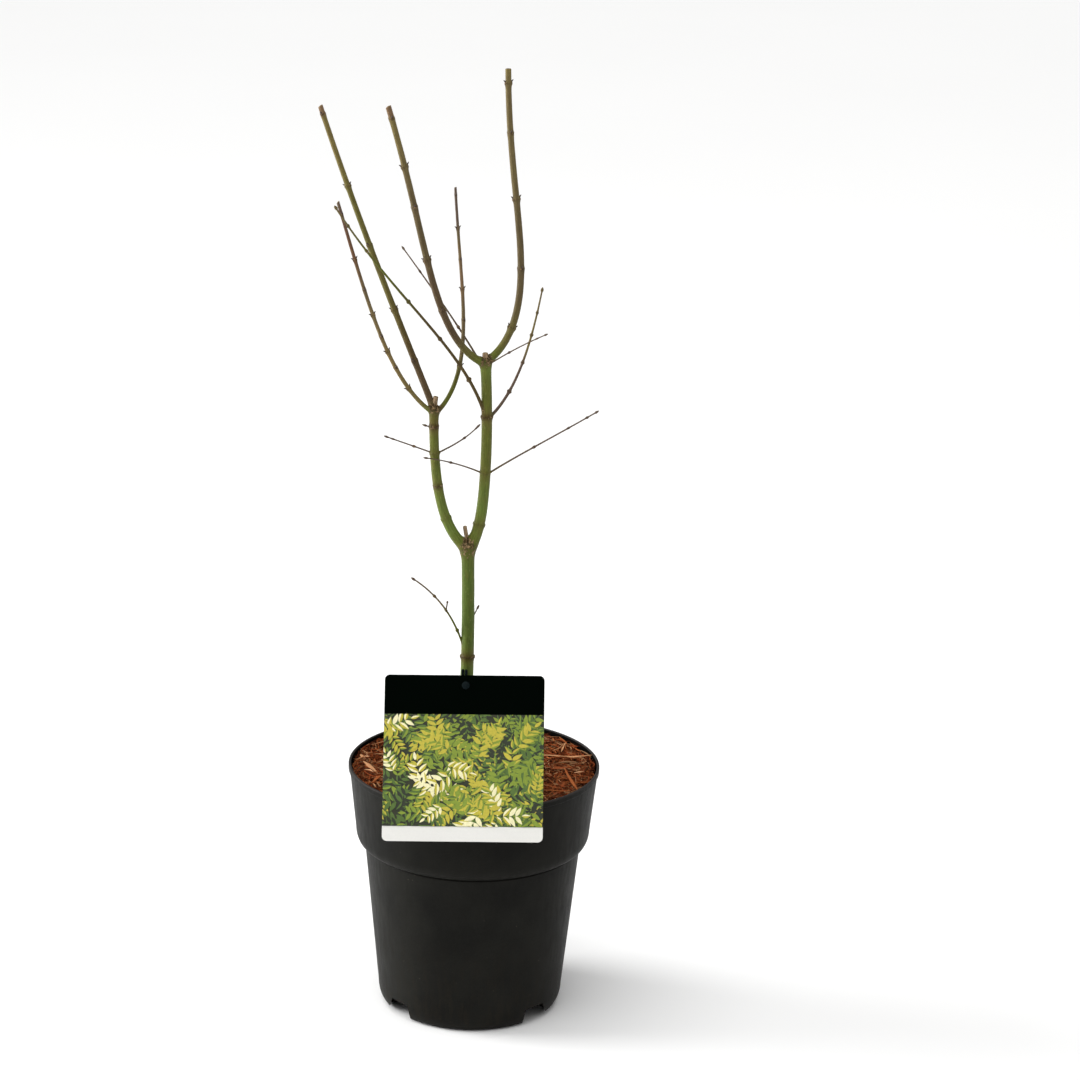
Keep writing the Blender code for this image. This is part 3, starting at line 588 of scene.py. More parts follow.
def pot_look():
    """Dull black moulded plastic with a fine grain, faint scuffs, a little bark dust and a painted
    highlight along the lip.
    """
    look = Look("moulded_pot_plastic", POT_BLACK, 0.5, 0.07)
    place = look.object_place()
    height = look.node("SeparateXYZ", "Z", {"Vector": place})
    clouds = look.noise(place, 28)
    scuffs = look.noise(look.stretched(place, 0.15), 260, 4, 0.65)
    thin_dust = look.math("MULTIPLY", look.specks(place, 150, 0.055),
                          look.span(clouds, 0.50, 0.62, 0.0, 0.8))
    stain = look.math("MULTIPLY", look.span(height, 0.005, 0.09, 1.0, 0.0),
                      look.span(scuffs, 0.45, 0.70, 0.0, 0.5))
    # Painted highlight: the top of the lip is lightened as if light catches it
    rim = look.span(height, POT_HEIGHT - 2 * LIP_ROUND, POT_HEIGHT, 0.0, 0.9)
    tone = look.blend(look.span(clouds, 0.35, 0.65), POT_DARK, POT_PALE)
    tone = look.blend(stain, tone, POT_STAIN)
    tone = look.blend(thin_dust, tone, POT_DUST)
    tone = look.blend(rim, tone, POT_RIM_HIGHLIGHT)
    normal = look.bump(look.noise(place, 1500), 0.00018, 0.7)
    return look.finish(tone, look.span(scuffs, 0.3, 0.7, 0.44, 0.60), normal)


def painted_shade_wall_look():
    """The same plastic inside the rim, with painted shade that makes it nearly black."""
    look = Look("painted_shade_inner_wall", WALL_BLACK, 0.7, 0.01)
    return look.mottled((60, 4), 0.35, (WALL_DARK, WALL_SHADE_BROWN), (0.62, 0.80))


def mulch_look(name, colour, roughness):
    """One tint of shredded bark, with a fine fibrous grain."""
    look = Look(name, colour, roughness, 0.06)
    return look.mottled((1500, 3, 0.6), 0.32, (colour * 0.72, colour * 1.22), None, (0.00015, 0.6))


def print_look(name, colour, specular=0.3, mottled=0.10):
    """Ink on the label's plastic: nearly even, with a faint mottle and a slight gloss."""
    look = Look(name, colour, 0.38, specular)
    place = look.object_place()
    haze = look.noise(place, 45)
    tone = look.blend(look.span(look.noise(place, 700), 0.3, 0.7), colour * (1 - mottled),
                      colour * (1 + mottled))
    tone = look.shade(tone, look.span(haze, 0.3, 0.7, 1 - mottled / 2, 1 + mottled / 2))
    return look.finish(tone, look.span(haze, 0.3, 0.7, 0.32, 0.46))


# Limbs

def leaning(turn, lean):
    """Unit vectors that lean from upright towards a heading, both in radians."""
    return np.stack([np.sin(lean) * cos(turn), np.sin(lean) * sin(turn), np.cos(lean)], -1)


def direction_at(limb, along):
    """Which way the limb runs at these distances along it."""
    base, middle, tip = np.radians(limb.leans)
    lean = middle + (tip - middle) * along / limb.length
    lean = lean + (base - middle) * np.exp(-along / limb.bend)
    return leaning(radians(limb.heading), lean)


def centre_line(limb):
    """Points every PATH_STEP along the limb's middle, by adding up its direction."""
    start = np.array((TRUNK_FOOT_X, 0.0, SOIL_HEIGHT + GAP))
    if limb.parent:
        start = places_at(LIMBS[limb.parent], limb.at)
    steps = round(limb.length / PATH_STEP)
    run = direction_at(limb, (np.arange(steps) + 0.5) * PATH_STEP)
    return np.vstack([start, start + np.cumsum(run, axis=0) * PATH_STEP])


def places_at(limb, along):
    """The middle of the limb at these distances, which may pass its ends by a little."""
    line = centre_line(limb)
    grid = np.arange(len(line)) * PATH_STEP
    along = np.asarray(along, float)
    within = np.clip(along, 0, limb.length)
    place = np.stack([np.interp(along, grid, axis) for axis in line.T], -1)
    return place + direction_at(limb, within) * (along - within)[..., None]


def outward_at(limb, along, around):
    """Unit vectors out from the limb's middle. A turn of 0 is level and square to its heading."""
    turn = radians(limb.heading)
    level = np.array((-sin(turn), cos(turn), 0.0))
    return ring_out(around, level, np.cross(direction_at(limb, along), level))


def tip_bud(share):
    """How a twig widens and closes along its end bud, as a factor on its width."""
    share = np.clip(share, 0, 1)
    swell = TIP_BUD_SWELL * np.sin(pi * share**TIP_BUD_SKEW)
    closed = np.sqrt(1 - TIP_BUD_END * share**TIP_BUD_POINT)
    return (1 + swell - TIP_BUD_CLOSE * share**TIP_BUD_NARROW) * closed


def node_wear(limb, index):
    """How worn a node is. A shoot's nodes are all alike."""
    return NODE_WEAR[limb.name][index] if limb in BOUGHS else 1.0


def node_swell(limb, index, distance):
    if limb in TWIGS:
        return KNOT_SWELL * hump(distance, KNOT_HALF)
    swell = BOUGH_NODE_SWELL * node_wear(limb, index) if limb in BOUGHS else NODE_SWELL
    return swell * hump(distance, np.where(distance < 0, NODE_BELOW, NODE_ABOVE))


def radius_at(limb, along):
    """Half the limb's width: an even taper, a flare at its base and a swelling at each node."""
    base, tip = limb.widths
    radius = (base + (tip - base) * along / limb.length) / 2
    grow = COLLAR_FLARE * np.exp(-along / (FLARE_LENGTH * base))
    for index, node in enumerate(limb.nodes):
        grow = grow + node_swell(limb, index, along - node)
    if limb in BOUGHS:
        grow = grow + COLLAR_FLARE * hump(limb.length - along, base)
    radius = radius * (1 + grow)
    if limb in TWIGS:
        radius = radius * tip_bud(1 - (limb.length - along) / TIP_BUD_LENGTH)
    return radius


def bud_turn(limb, index):
    """The turn of one bud of the pair at a node. Each pair is a quarter turn on from the last."""
    first = 0 if limb.name in FRONT_PAIR_FIRST else 1
    return pi / 2 * (index + first)


def wrapped(angle):
    return (angle + pi) % (2 * pi) - pi


def low_ribs(along, around, radius, rng):
    """Shallow ribs that wander as they run up the limb."""
    height = 0.0
    for waves in RIB_WAVES:
        length = rng.uniform(*RIB_DRIFT)
        phase, start = rng.uniform(0, 2 * pi, 2)
        wander = RIB_WANDER * np.sin(2 * pi * along / length + start)
        height = height + radius * RIB_SHARE * np.sin(waves * around + phase + wander) / waves**RIB_FALL
    return height


def node_marks(limb, along, around, radius):
    """Height, darkness and wear of the ring at each node, its leaf scars and shelves under buds."""
    height = 0.0
    dark = 0.0
    worn = 0.0
    fine = np.minimum(radius / FINE_RADIUS, FINE_MOST)
    shelf_share = BOUGH_SHELF_SHARE if limb in BOUGHS else SHELF_SHARE
    for index, node in enumerate(limb.nodes):
        away = along - node
        wear = node_wear(limb, index)
        clear = min(wear, 1.0)
        height = height + NODE_LINE_HEIGHT * fine * hump(away, NODE_LINE_HALF)
        dark = dark + NODE_STAIN * clear * hump(away, NODE_STAIN_HALF)
        if limb in BOUGHS:
            worn = worn + BAND_WORN * wear * hump(away, NODE_BAND)
        for side in (0.0, pi):
            off = wrapped(around - bud_turn(limb, index) - side)
            curve = node - SCAR_DROP * fine**0.5 + SCAR_CURVE * off**2
            scar = hump(along - curve, SCAR_HALF) * hump(off, SCAR_SPREAD)
            shelf = hump(away, np.where(away < 0, SHELF_BELOW, SHELF_ABOVE))
            shelf = shelf * hump(off, SHELF_SPREAD)
            height = height + SCAR_HEIGHT * fine * scar + shelf_share * radius * shelf
            dark = dark + clear * (SCAR_DARK * scar + SHELF_DARK * shelf)
    return height, np.clip(dark, 0, 1), worn


def pores(limb, along, around, radius, rng):
    """Small raised pale pores scattered over the bark, longer than they are wide."""
    mark = np.zeros(np.broadcast_shapes(along.shape, around.shape))
    mean = float(radius.mean())
    for _ in range(int(limb.length * 2 * pi * mean / SPECK_AREA)):
        place = rng.uniform(SPECK_FROM, limb.length)
        turn = rng.uniform(0, 2 * pi)
        size = rng.uniform(*SPECK_SIZES)
        rows = np.abs(along[:, 0] - place) < 3 * SPECK_HALF_LENGTH
        speck = hump(along[rows] - place, SPECK_HALF_LENGTH * size)
        speck = speck * hump(wrapped(around - turn) * mean, SPECK_HALF_WIDTH * size)
        mark[rows] = np.maximum(mark[rows], speck)
    return mark


def between(stops, share):
    """The tones or places at these shares of a length, in between those given at its stops."""
    channels = np.transpose(list(stops.values()))
    return np.stack([np.interp(share, list(stops), channel) for channel in channels], -1)


def mixed(first, second, share):
    return first + (second - first) * share[..., None]


def meetings(limb):
    """The limbs that this one joins, each with the near stretches of this limb and of that one."""
    found = []
    start = (0.0, WEB_ZONE)
    for other in LIMBS.values():
        if other.parent == limb.name:
            found.append((other, (other.at - WEB_ZONE, other.at + WEB_ZONE), start))
        elif other.name == limb.parent:
            found.append((other, start, (limb.at - WEB_ZONE, limb.at + WEB_ZONE)))
        elif other is not limb and limb.parent and other.parent == limb.parent:
            if abs(other.at - limb.at) < WEB_ZONE / 2:
                found.append((other, start, start))
    return found


def beside(points, limb, stretch):
    """How far points are from the limb's bark, and the place along it that is nearest to each."""
    low, high = np.clip(stretch, 0, limb.length)
    grid = np.arange(low, high, WEB_STEP)
    middles = places_at(limb, grid)
    nearest = ((points[:, None, :] - middles) ** 2).sum(-1).argmin(1)
    offset = points - middles[nearest]
    run = direction_at(limb, grid[nearest])
    slide = np.clip((offset * run).sum(-1), -WEB_STEP / 2, WEB_STEP / 2)
    along = np.clip(grid[nearest] + slide, 0, limb.length)
    return np.linalg.norm(offset - run * slide[:, None], axis=-1) - radius_at(limb, along), along


def web(limb, along, points, tone, worn):
    """How far the bark swells towards the limbs that join this one. It blends their tones in."""
    swell = np.zeros(worn.shape)
    for other, own, theirs in meetings(limb):
        rows = (along[:, 0] >= own[0]) & (along[:, 0] <= own[1])
        gap, place = beside(points[rows].reshape(-1, 3), other, theirs)
        reach = WEB_SHARE * min(limb.widths[0], other.widths[0]) / 2
        near = np.clip(1 - np.abs(gap) / reach, 0, 1).reshape(worn[rows].shape)
        swell[rows] = np.maximum(swell[rows], WEB_RISE * reach * near**2)
        share = FORK_SEAM if limb in BOUGHS and other in BOUGHS else 1.0
        worn[rows] = np.maximum(worn[rows], SEAM_WORN * near)
        theirs = between(tones_of(other), place / other.length).reshape(tone[rows].shape)
        tone[rows] = mixed(tone[rows], theirs, 0.5 * near**2 * (3 - 2 * near))
        tone[rows] = mixed(tone[rows], UMBER, share * SEAM_DARK * near**3)
    return swell


def crotch_worn(limb, points):
    """How corky the bark is near the dead stub in a fork, from 0 to 1."""
    worn = np.zeros(points.shape[:-1])
    for holder in (LIMBS[name] for name in STUBS if name in (limb.name, limb.parent)):
        away = np.linalg.norm(points - places_at(holder, holder.length), axis=-1)
        near = CROTCH_WORN - away / holder.widths[1]
        worn = np.maximum(worn, np.clip(CROTCH_CLEAR * near, 0, 1))
    return worn


def node_haze(limb, along):
    """How brownish a bough's bark is round its nodes."""
    haze = 0.0
    for index, node in enumerate(limb.nodes):
        haze = haze + HAZE_SHARE * node_wear(limb, index) * hump(along - node, HAZE_HALF)
    return np.clip(haze, 0, HAZE_MOST)


def tones_of(limb):
    return TONES.get(limb.name, TWIG_TONES)


def grown_mesh(name, points, tone, worn, along, around, radius):
    """A closed tube from a grid of points, with its bark's tone, wear and place if straight."""
    rings, sides, _ = points.shape
    mesh = make_mesh(name, points, closed_grid_faces(rings, sides))
    tone = np.concatenate([np.broadcast_to(tone, points.shape), np.ones((rings, sides, 1))], -1)
    worn = np.broadcast_to(worn, (rings, sides))
    place = np.stack([np.cos(around) * radius, np.sin(around) * radius, along + 0 * around], -1)
    for key, kind, field, values in (("bark_tone", "FLOAT_COLOR", "color", tone),
                                     ("bark_worn", "FLOAT", "value", worn),
                                     ("bark_place", "FLOAT_VECTOR", "vector", place)):
        mesh.attributes.new(key, kind, "POINT").data.foreach_set(field, values.ravel())
    mesh.shade_smooth()
    return add_object(name, mesh)


def end_rings(limb):
    """Distance back from the end, and share of the width, of the rings that close the limb."""
    if limb in SHOOTS:
        return CUT_END
    depth = radius_at(limb, limb.length) * (BOUGH_DOME if limb in BOUGHS else TWIG_DOME)
    return [(-depth * sin(turn), cos(turn)) for turn in np.radians(DOME_TURNS)]


def tube_rings(start, end, step, closing):
    """A tube's rings as columns: distance along, share of the full width, and number in its end."""
    closing = np.array(closing)
    last = end - max(closing[0, 0], 0.0)
    count = round((end - start) / step) + 1
    along = np.concatenate([np.linspace(start, last, count), end - closing[:, 0]])
    shrink = np.concatenate([np.ones(count), closing[:, 1]])
    number = np.arange(len(along)) - count
    return along[:, None], shrink[:, None], number[:, None]


def cut_tone(tone, number, first, wood):
    """The tone with bare wood from this ring of the cut end on."""
    return np.where((number >= first)[..., None], wood, tone)


def slanted(limb, along, around, reach):
    """The rings' distances along a shoot, with those near a slanting cut drawn back on one side."""
    slant, facing = CUT_SLANT.get(limb.name, (0.0, 0.0))
    ramp = np.clip((along - limb.length + CUT_END[0][0]) / CUT_RAMP + 1, 0, 1) ** 2
    return along - slant * reach * (1 - np.cos(around - facing)) * ramp


def grown_limb(limb, grid, rng):
    """The limb's surface: the rule's tube with ribs, nodes, scars and pores, and a closed end."""
    step, sides = grid
    straight, shrink, number = tube_rings(0.0, limb.length, step, end_rings(limb))
    around = ring_turns(sides)
    inside = np.minimum(straight, limb.length)
    radius = radius_at(limb, inside)
    height = low_ribs(straight, around, radius, rng)
    marks, dark, band = node_marks(limb, inside, around, radius)
    speck = pores(limb, straight, around, radius, rng)
    reach = (radius + height + marks + SPECK_HEIGHT * speck) * shrink
    tone = between(tones_of(limb), np.broadcast_to(straight / limb.length, reach.shape))
    along = slanted(limb, straight, around, reach)
    outward = outward_at(limb, np.clip(along, 0, limb.length), around)
    points = places_at(limb, along) + outward * reach[..., None]
    worn = np.maximum(np.maximum(NODE_WORN * dark, band), crotch_worn(limb, points))
    points = points + outward * web(limb, along, points, tone, worn)[..., None]
    if limb in BOUGHS:
        tone = mixed(tone, HAZE, node_haze(limb, inside))
        tone = mixed(tone, NODE_BROWN, np.clip(BAND_BROWN * band, 0, BAND_BROWN_MOST))
    tone = mixed(tone, KNOT, MARKS_DARK * dark)
    tone = mixed(tone, PORE, SPECKS_PALE * speck * (shrink == 1))
    if limb in SHOOTS:
        tone = cut_tone(tone, number, CUT_WOOD_FROM, CUT_WOOD)
        tone = cut_tone(tone, number, CUT_PITH_FROM, CUT_PITH)
    return grown_mesh(limb.name + "_bark", points, tone, worn, straight, around, radius)


def grown_stub(name, rng):
    """The dead leader in a fork: rough, ribbed and cut across, with its foot sunk in."""
    length, width, heading, lean = STUBS[name]
    step, sides = STUB_GRID
    along, shrink, number = tube_rings(-STUB_SUNK, length, step, CUT_END)
    around = ring_turns(sides)
    axis = leaning(radians(heading), radians(lean))
    level = np.cross(axis, (0.0, 1.0, 0.0))
    level /= np.linalg.norm(level)
    share = np.clip(along / length, 0, 1)
    flare = STUB_FLARE * np.exp(-np.clip(along, 0, None) / STUB_FLARE_LENGTH)
    radius = width / 2 * (1.0 - STUB_TAPER * share + flare)
    height = STUB_RIBS * low_ribs(along, around, radius, rng)
    sway = STUB_WRINKLE_SWAY * np.sin(around + 1)
    wrinkle = np.sin(along / STUB_WRINKLE_LENGTH + sway) * (1 - share)
    reach = (radius + height + STUB_WRINKLE * radius * wrinkle) * shrink
    groove = np.clip(-height / (STUB_WRINKLE * radius), 0, 1)
    tone = mixed(between(STUB_TONES, share), UMBER, STUB_GROOVE_DARK * groove)
    tone = cut_tone(tone, number, CUT_WOOD_FROM, STUB_WOOD)
    outward = ring_out(around, level, np.cross(axis, level))
    foot = places_at(LIMBS[name], LIMBS[name].length)
    points = foot + axis * along[..., None] + outward * reach[..., None]
    worn = STUB_GROOVE_WORN * groove + STUB_FOOT_WORN * (1 - share)
    return grown_mesh(name + "_stub", points, tone, worn, along, around, radius)


def grown_sprig():
    """The short side sprig on the trunk's long twig, which ends in a bud."""
    limb = LIMBS["trunk_left_twig"]
    rings, sides = SPRIG_GRID
    share = np.linspace(0, 1, rings)[:, None]
    around = ring_turns(sides)
    path = between(SPRIG_PATH, share)
    swell, middle, half = SPRIG_BUD
    radius = SPRIG_RADIUS + swell * hump(share - middle, half) - SPRIG_POINT * share**SPRIG_CLOSE
    outward = ring_out(around, np.array((1, 0, 0)), np.array((0, 1, 0)))
    points = places_at(limb, limb.nodes[SPRIG_NODE]) + path + outward * radius[..., None]
    tone = between(TWIG_TONES, share)
    return grown_mesh("side_sprig", points, tone, 0.0, SPRIG_LENGTH * share, around, radius)


def bud_grid(foot, pointing, side, length):
    """One pointed bud with two outer scales, as a grid of points."""
    share = np.linspace(0, 1, BUD_RINGS)[:, None]
    around = ring_turns(BUD_SIDES)
    foot_width, gain = BUD_BELLY
    closed = (1 - BUD_POINT * share) ** BUD_TAPER
    radius = length * BUD_WIDTH / 2 * closed * (foot_width + gain * share)
    edge = SCALE_EDGE * (1 - SCALE_WAVE + SCALE_WAVE * np.cos(2 * around))
    radius = radius * (1 + SCALE_PROUD * np.clip((edge - share) / SCALE_FADE, 0, 1))
    across = np.cross(pointing, side)
    across /= np.linalg.norm(across)
    outward = ring_out(around, across, BUD_FLAT * np.cross(across, pointing))
    return foot + pointing * (share * length)[..., None] + outward * radius[..., None]


def limb_buds(limb, size):
    """The opposite buds at each node of a limb, and the small ones round a fork."""
    places = [(node, bud_turn(limb, index) + half_turn) for index, node in enumerate(limb.nodes)
              for half_turn in (0.0, pi)]
    if limb in BOUGHS:
        places += [(limb.length - back, radians(turn)) for back, turn in FORK_BUDS]
    grids = []
    lean = radians(BUD_LEAN)
    for node, turn in places:
        radius = float(radius_at(limb, node))
        length = BUD_LENGTH * size * min(1.0, BUD_LEAST + radius / BUD_GROWTH)
        side = outward_at(limb, node, turn)
        pointing = direction_at(limb, node) * cos(lean) + side * sin(lean)
        foot = places_at(limb, node) + side * radius * BUD_SEAT - pointing * BUD_SUNK
        grids.append(bud_grid(foot, pointing, side, length))
    return grids


def make_limbs(rng):
    looks = {name: bark_look(name, *values) for name, values in BARKS.items()}
    for slot, limbs, grid, _ in KINDS.values():
        for limb in limbs:
            bark = grown_limb(limb, grid if limb.parent else TRUNK_GRID, rng)
            dress(bark, looks[slot], slot, limb.name)
    for name in STUBS:
        dress(grown_stub(name, rng), looks["stub_bark"], "green_bark")
    dress(grown_sprig(), looks["twig_bark"], "twig_bark")
    scales = Look("bud_scales", BUD_BROWN, 0.5, 0.35)
    scales = scales.mottled((900,), 0.35, (BUD_BROWN, BUD_DARK), (0.42, 0.62), (0.00008,))
    for kind, (slot, limbs, _, size) in KINDS.items():
        grids = [grid for limb in limbs for grid in limb_buds(limb, size)]
        dress(joined_grids(kind + "_buds", grids), scales, slot)


# Pot

def turned(name, profile, steps):
    """A solid of revolution. The profile of (radius, height) runs down its outer side."""
    mesh = bpy.data.meshes.new(name)
    points = [(radius, 0.0, height) for radius, height in profile]
    mesh.from_pydata(points, [(i, i + 1) for i in range(len(points) - 1)], [])
    obj = add_object(name, mesh)
    screw = obj.modifiers.new("turn", "SCREW")
    screw.steps = steps
    screw.render_steps = steps
    screw.use_merge_vertices = True
    screw.merge_threshold = WELD
    return to_mesh(obj)


def oval(x, y, width, height, start, end, steps=ARC_STEPS):
    """Points of an elliptical arc about x, y with these half sizes. Angles are degrees from +x."""
    angles = np.radians(np.linspace(start, end, steps + 1))
    return [(x + width * cos(angle), y + height * sin(angle)) for angle in angles]


def arc(x, y, radius, start, end, steps=ARC_STEPS):
    return oval(x, y, radius, radius, start, end, steps)


def collar_radius(height):
    """Outer radius of the tapering collar."""
    top = RIM_RADIUS - LIP_PROUD
    share = (height - COLLAR_BOTTOM) / (POT_HEIGHT - LIP_HEIGHT - COLLAR_BOTTOM)
    return COLLAR_BOTTOM_RADIUS + (top - COLLAR_BOTTOM_RADIUS) * share


def pot_profile():
    """All round the pot's wall: up the inside from the floor, over the lip and down to the feet."""
    step_width = COLLAR_BOTTOM_RADIUS - BODY_TOP_RADIUS
    lip_bottom = POT_HEIGHT - LIP_HEIGHT
    foot_width = BODY_FOOT_RADIUS - FOOT_RADIUS
    floor_top = FLOOR_BOTTOM + POT_WALL
    shoulder = COLLAR_BOTTOM - STEP_DROP
    inner_edge = collar_radius(POT_HEIGHT) - POT_WALL
    inside = [
        (0.0, POT_WALL),
        (BOSS_RADIUS - POT_WALL, POT_WALL),
        (BOSS_RADIUS + POT_WALL, floor_top),
        (BODY_FOOT_RADIUS - 2 * POT_WALL, floor_top),
        (BODY_FOOT_RADIUS - POT_WALL, BODY_FOOT_HEIGHT + 2 * POT_WALL),
        (BODY_TOP_RADIUS - POT_WALL, shoulder + POT_WALL - GAP),
    ]
    inside += oval(BODY_TOP_RADIUS - POT_WALL, COLLAR_BOTTOM + POT_WALL, step_width, STEP_DROP,
                   -90, 0)
    lip = arc(inner_edge + LIP_ROUND, POT_HEIGHT - LIP_ROUND, LIP_ROUND, 180, 90, 5)
    lip += arc(RIM_RADIUS - LIP_ROUND, POT_HEIGHT - LIP_ROUND, LIP_ROUND, 90, 0, 6)
    lip += arc(RIM_RADIUS - LIP_ROUND, lip_bottom + LIP_ROUND, LIP_ROUND, 0, -75, 4)
    lip += [(collar_radius(lip_bottom), lip_bottom)]
    step = oval(BODY_TOP_RADIUS + GROOVE_HANG, COLLAR_BOTTOM, step_width - GROOVE_HANG, STEP_DROP,
                0, -90)
    step += [
        (BODY_TOP_RADIUS - GROOVE_DEPTH, shoulder + GAP),
        (BODY_TOP_RADIUS - GROOVE_DEPTH, shoulder - GROOVE_HEIGHT),
        (BODY_TOP_RADIUS - GAP, shoulder - GROOVE_HEIGHT - GROOVE_DEPTH),
    ]
    foot = oval(FOOT_RADIUS, BODY_FOOT_HEIGHT, foot_width, BODY_FOOT_HEIGHT, 0, -FOOT_SLOPE)
    underside = [
        (FOOT_RADIUS, 0.0),
        (FOOT_RADIUS - FOOT_RING, 0.0),
        (FOOT_RADIUS - FOOT_RING - POT_WALL, FLOOR_BOTTOM),
        (BOSS_RADIUS + 2 * POT_WALL, FLOOR_BOTTOM),
        (BOSS_RADIUS, 0.0),
        (0.0, 0.0),
    ]
    return inside + lip + step + foot + underside


def notch_cutter(side, end):
    """A wedge, wider at the ground, that cuts one gap: side and end are -1 or 1 along X and Y."""
    high = NOTCH_TOP_WIDTH / 2
    low = NOTCH_BOTTOM_WIDTH - high
    top = NOTCH_HEIGHT
    outline = ((-low, -top), (low, -top), (high, top), (-high, top))
    obj = flat_outline("notch_cutter", [outline], NOTCH_END - NOTCH_START)
    middle = Vector((side * NOTCH_X, end * (NOTCH_START + NOTCH_END) / 2, 0.0))
    obj.matrix_world = axes_matrix(Vector((1, 0, 0)), Vector((0, 0, 1)), Vector((0, -1, 0)), middle)
    return to_mesh(obj)


def drain_cutter(index):
    mesh = bpy.data.meshes.new("drain_cutter")
    with edited(mesh) as bm:
        bmesh.ops.create_cone(bm, cap_ends=True, segments=HOLE_STEPS,
                              radius1=DRAIN_RADIUS, radius2=DRAIN_RADIUS, depth=5 * POT_WALL)
    obj = add_object("drain_cutter", mesh)
    turn = 2 * pi * index / DRAIN_HOLES
    obj.location = (DRAIN_CIRCLE * cos(turn), DRAIN_CIRCLE * sin(turn), FLOOR_BOTTOM)
    return obj


def cut_out(obj, cutters):
    """Cuts the other objects out of obj and removes them."""
    tools = bpy.data.collections.new(obj.name + "_tools")
    bpy.context.scene.collection.children.link(tools)
    for cutter in cutters:
        bpy.context.scene.collection.objects.unlink(cutter)
        tools.objects.link(cutter)
    modifier = obj.modifiers.new("cut", "BOOLEAN")
    modifier.operation = "DIFFERENCE"
    modifier.operand_type = "COLLECTION"
    modifier.collection = tools
    obj = to_mesh(obj)
    for cutter in list(tools.objects):
        bpy.data.objects.remove(cutter, do_unlink=True)
    bpy.data.collections.remove(tools)
    return obj


def make_pot():
    pot = turned("nursery_pot", pot_profile(), POT_STEPS)
    cutters = [notch_cutter(side, end) for side in (-1, 1) for end in (-1, 1)]
    cutters += [drain_cutter(index) for index in range(DRAIN_HOLES)]
    pot = cut_out(pot, cutters)
    shade_round(pot, CRISP_POT)
    for look in (pot_look(), painted_shade_wall_look()):
        pot.data.materials.append(look)
    # Faces inside the rim and above the soil take the inner wall's painted shade
    for face in pot.data.polygons:
        facing_in = face.center.x * face.normal.x + face.center.y * face.normal.y < 0
        above_soil = COLLAR_BOTTOM < face.center.z < POT_HEIGHT - LIP_ROUND
        face.material_index = int(facing_in and above_soil)
    dress(pot, None, "pot_plastic", "pot")


# Shredded bark

UP = np.array((0.0, 0.0, 1.0))
SOIL_DARK = srgb(34, 14, 7)
SOIL_PALE = srgb(92, 42, 22)
FIBRE_RINGS = 7
FIBRE_SIDES = 4
WALL_ROOM = 0.0004
TRUNK_ROOM = 0.0015
BED_RADIUS = 0.0980
ALONG_WALL = 0.0850  # shreds further out than this lie along the wall
HEAP = 0.0070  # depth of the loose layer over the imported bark
HEAP_SWELL = 0.0010
LUMP_WAVES = (0.011, 0.013, 0.006)  # length of the lumps along x, along y and across both
LUMP_START = 1.3
SMALL_LUMPS = 0.6
HEAP_RISE = 0.0016  # the bark stands this much higher at the pot's left and right
TOP_ROOM = 0.0007  # the loose bark stays this far under the rim's top
WALL_SPREAD = 0.6  # radians
TILT_SPREAD = 0.12
SHRED_TAPER = 0.75
SHRED_BLUNT = 3  # how near its ends a shred narrows
SHRED_ARCH = 0.5  # for a curl of 1
SHRED_SPIN = 3
SHRED_ROUGH = 0.25
LENGTH_BETA = (1.4, 2.8)
LAYER = (-0.1, 1.05)  # shares of the heap's depth where middles of shreds lie

# Each kind of piece: least and most length and width, flatness, curl and roughness
PIECES = {
    "shred": ((0.006, 0.034), (0.00035, 0.0014), 0.5, 0.45, 0.85),
    "chip": ((0.007, 0.022), (0.0022, 0.0046), 0.28, 0.15, 0.80),
}
TINTS = (
    # The deep tint is partly dark bark and partly painted shade: its many dark shreds stand in for
    # shadow in the gaps between fibres
    ("shred", "deep", srgb(72, 32, 14), 2300),
    ("shred", "red", srgb(126, 59, 28), 2700),
    ("shred", "orange", srgb(152, 85, 45), 2300),
    ("shred", "tan", srgb(190, 139, 98), 800),
    ("shred", "grey", srgb(134, 99, 68), 850),
    ("chip", "red", srgb(132, 68, 35), 230),
    ("chip", "tan", srgb(204, 154, 114), 60),
)

# Large shreds on top: x, y, heading and tilt in degrees, length, width, height over the bed
STICK_FLATNESS = 0.4
STICK_CURL = 0.05
STICKS = {
    "shred_tan": ((-0.0850, -0.0075, 297, -3, 0.030, 0.0036, 0.0068),
                  (-0.0915, 0.0128, 300, -5, 0.009, 0.0034, 0.0066),
                  (-0.0775, 0.0165, 5, 2, 0.015, 0.0013, 0.0066),
                  (0.0715, 0.0520, 261, 0, 0.019, 0.0016, 0.0070),
                  (0.0647, 0.0255, 3, 0, 0.045, 0.0021, 0.0073)),
    "shred_grey": ((0.0733, 0.0080, 8, 0, 0.016, 0.0030, 0.0072),),
    "shred_orange": ((0.0693, 0.0650, 295, 0, 0.017, 0.0019, 0.0070),
                     (0.0772, -0.0175, 284, 0, 0.046, 0.0028, 0.0072),
                     (-0.0770, -0.0380, 65, 0, 0.022, 0.0026, 0.0068),
                     (0.0730, -0.0480, 200, 3, 0.024, 0.0018, 0.0068)),
}


def bed_height(x, y):
    """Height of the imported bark's top in long low lumps."""
    radius = np.hypot(x, y)
    wide, deep, small = LUMP_WAVES
    lumps = np.sin(x / wide + LUMP_START) * np.cos(y / deep)
    lumps = lumps + SMALL_LUMPS * np.sin((x + y) / small)
    slope = HEAP_RISE * (x / BED_RADIUS) ** 2 - SOIL_DROP * (radius / BED_RADIUS) ** 2
    return SOIL_HEIGHT + slope + HEAP_SWELL * lumps


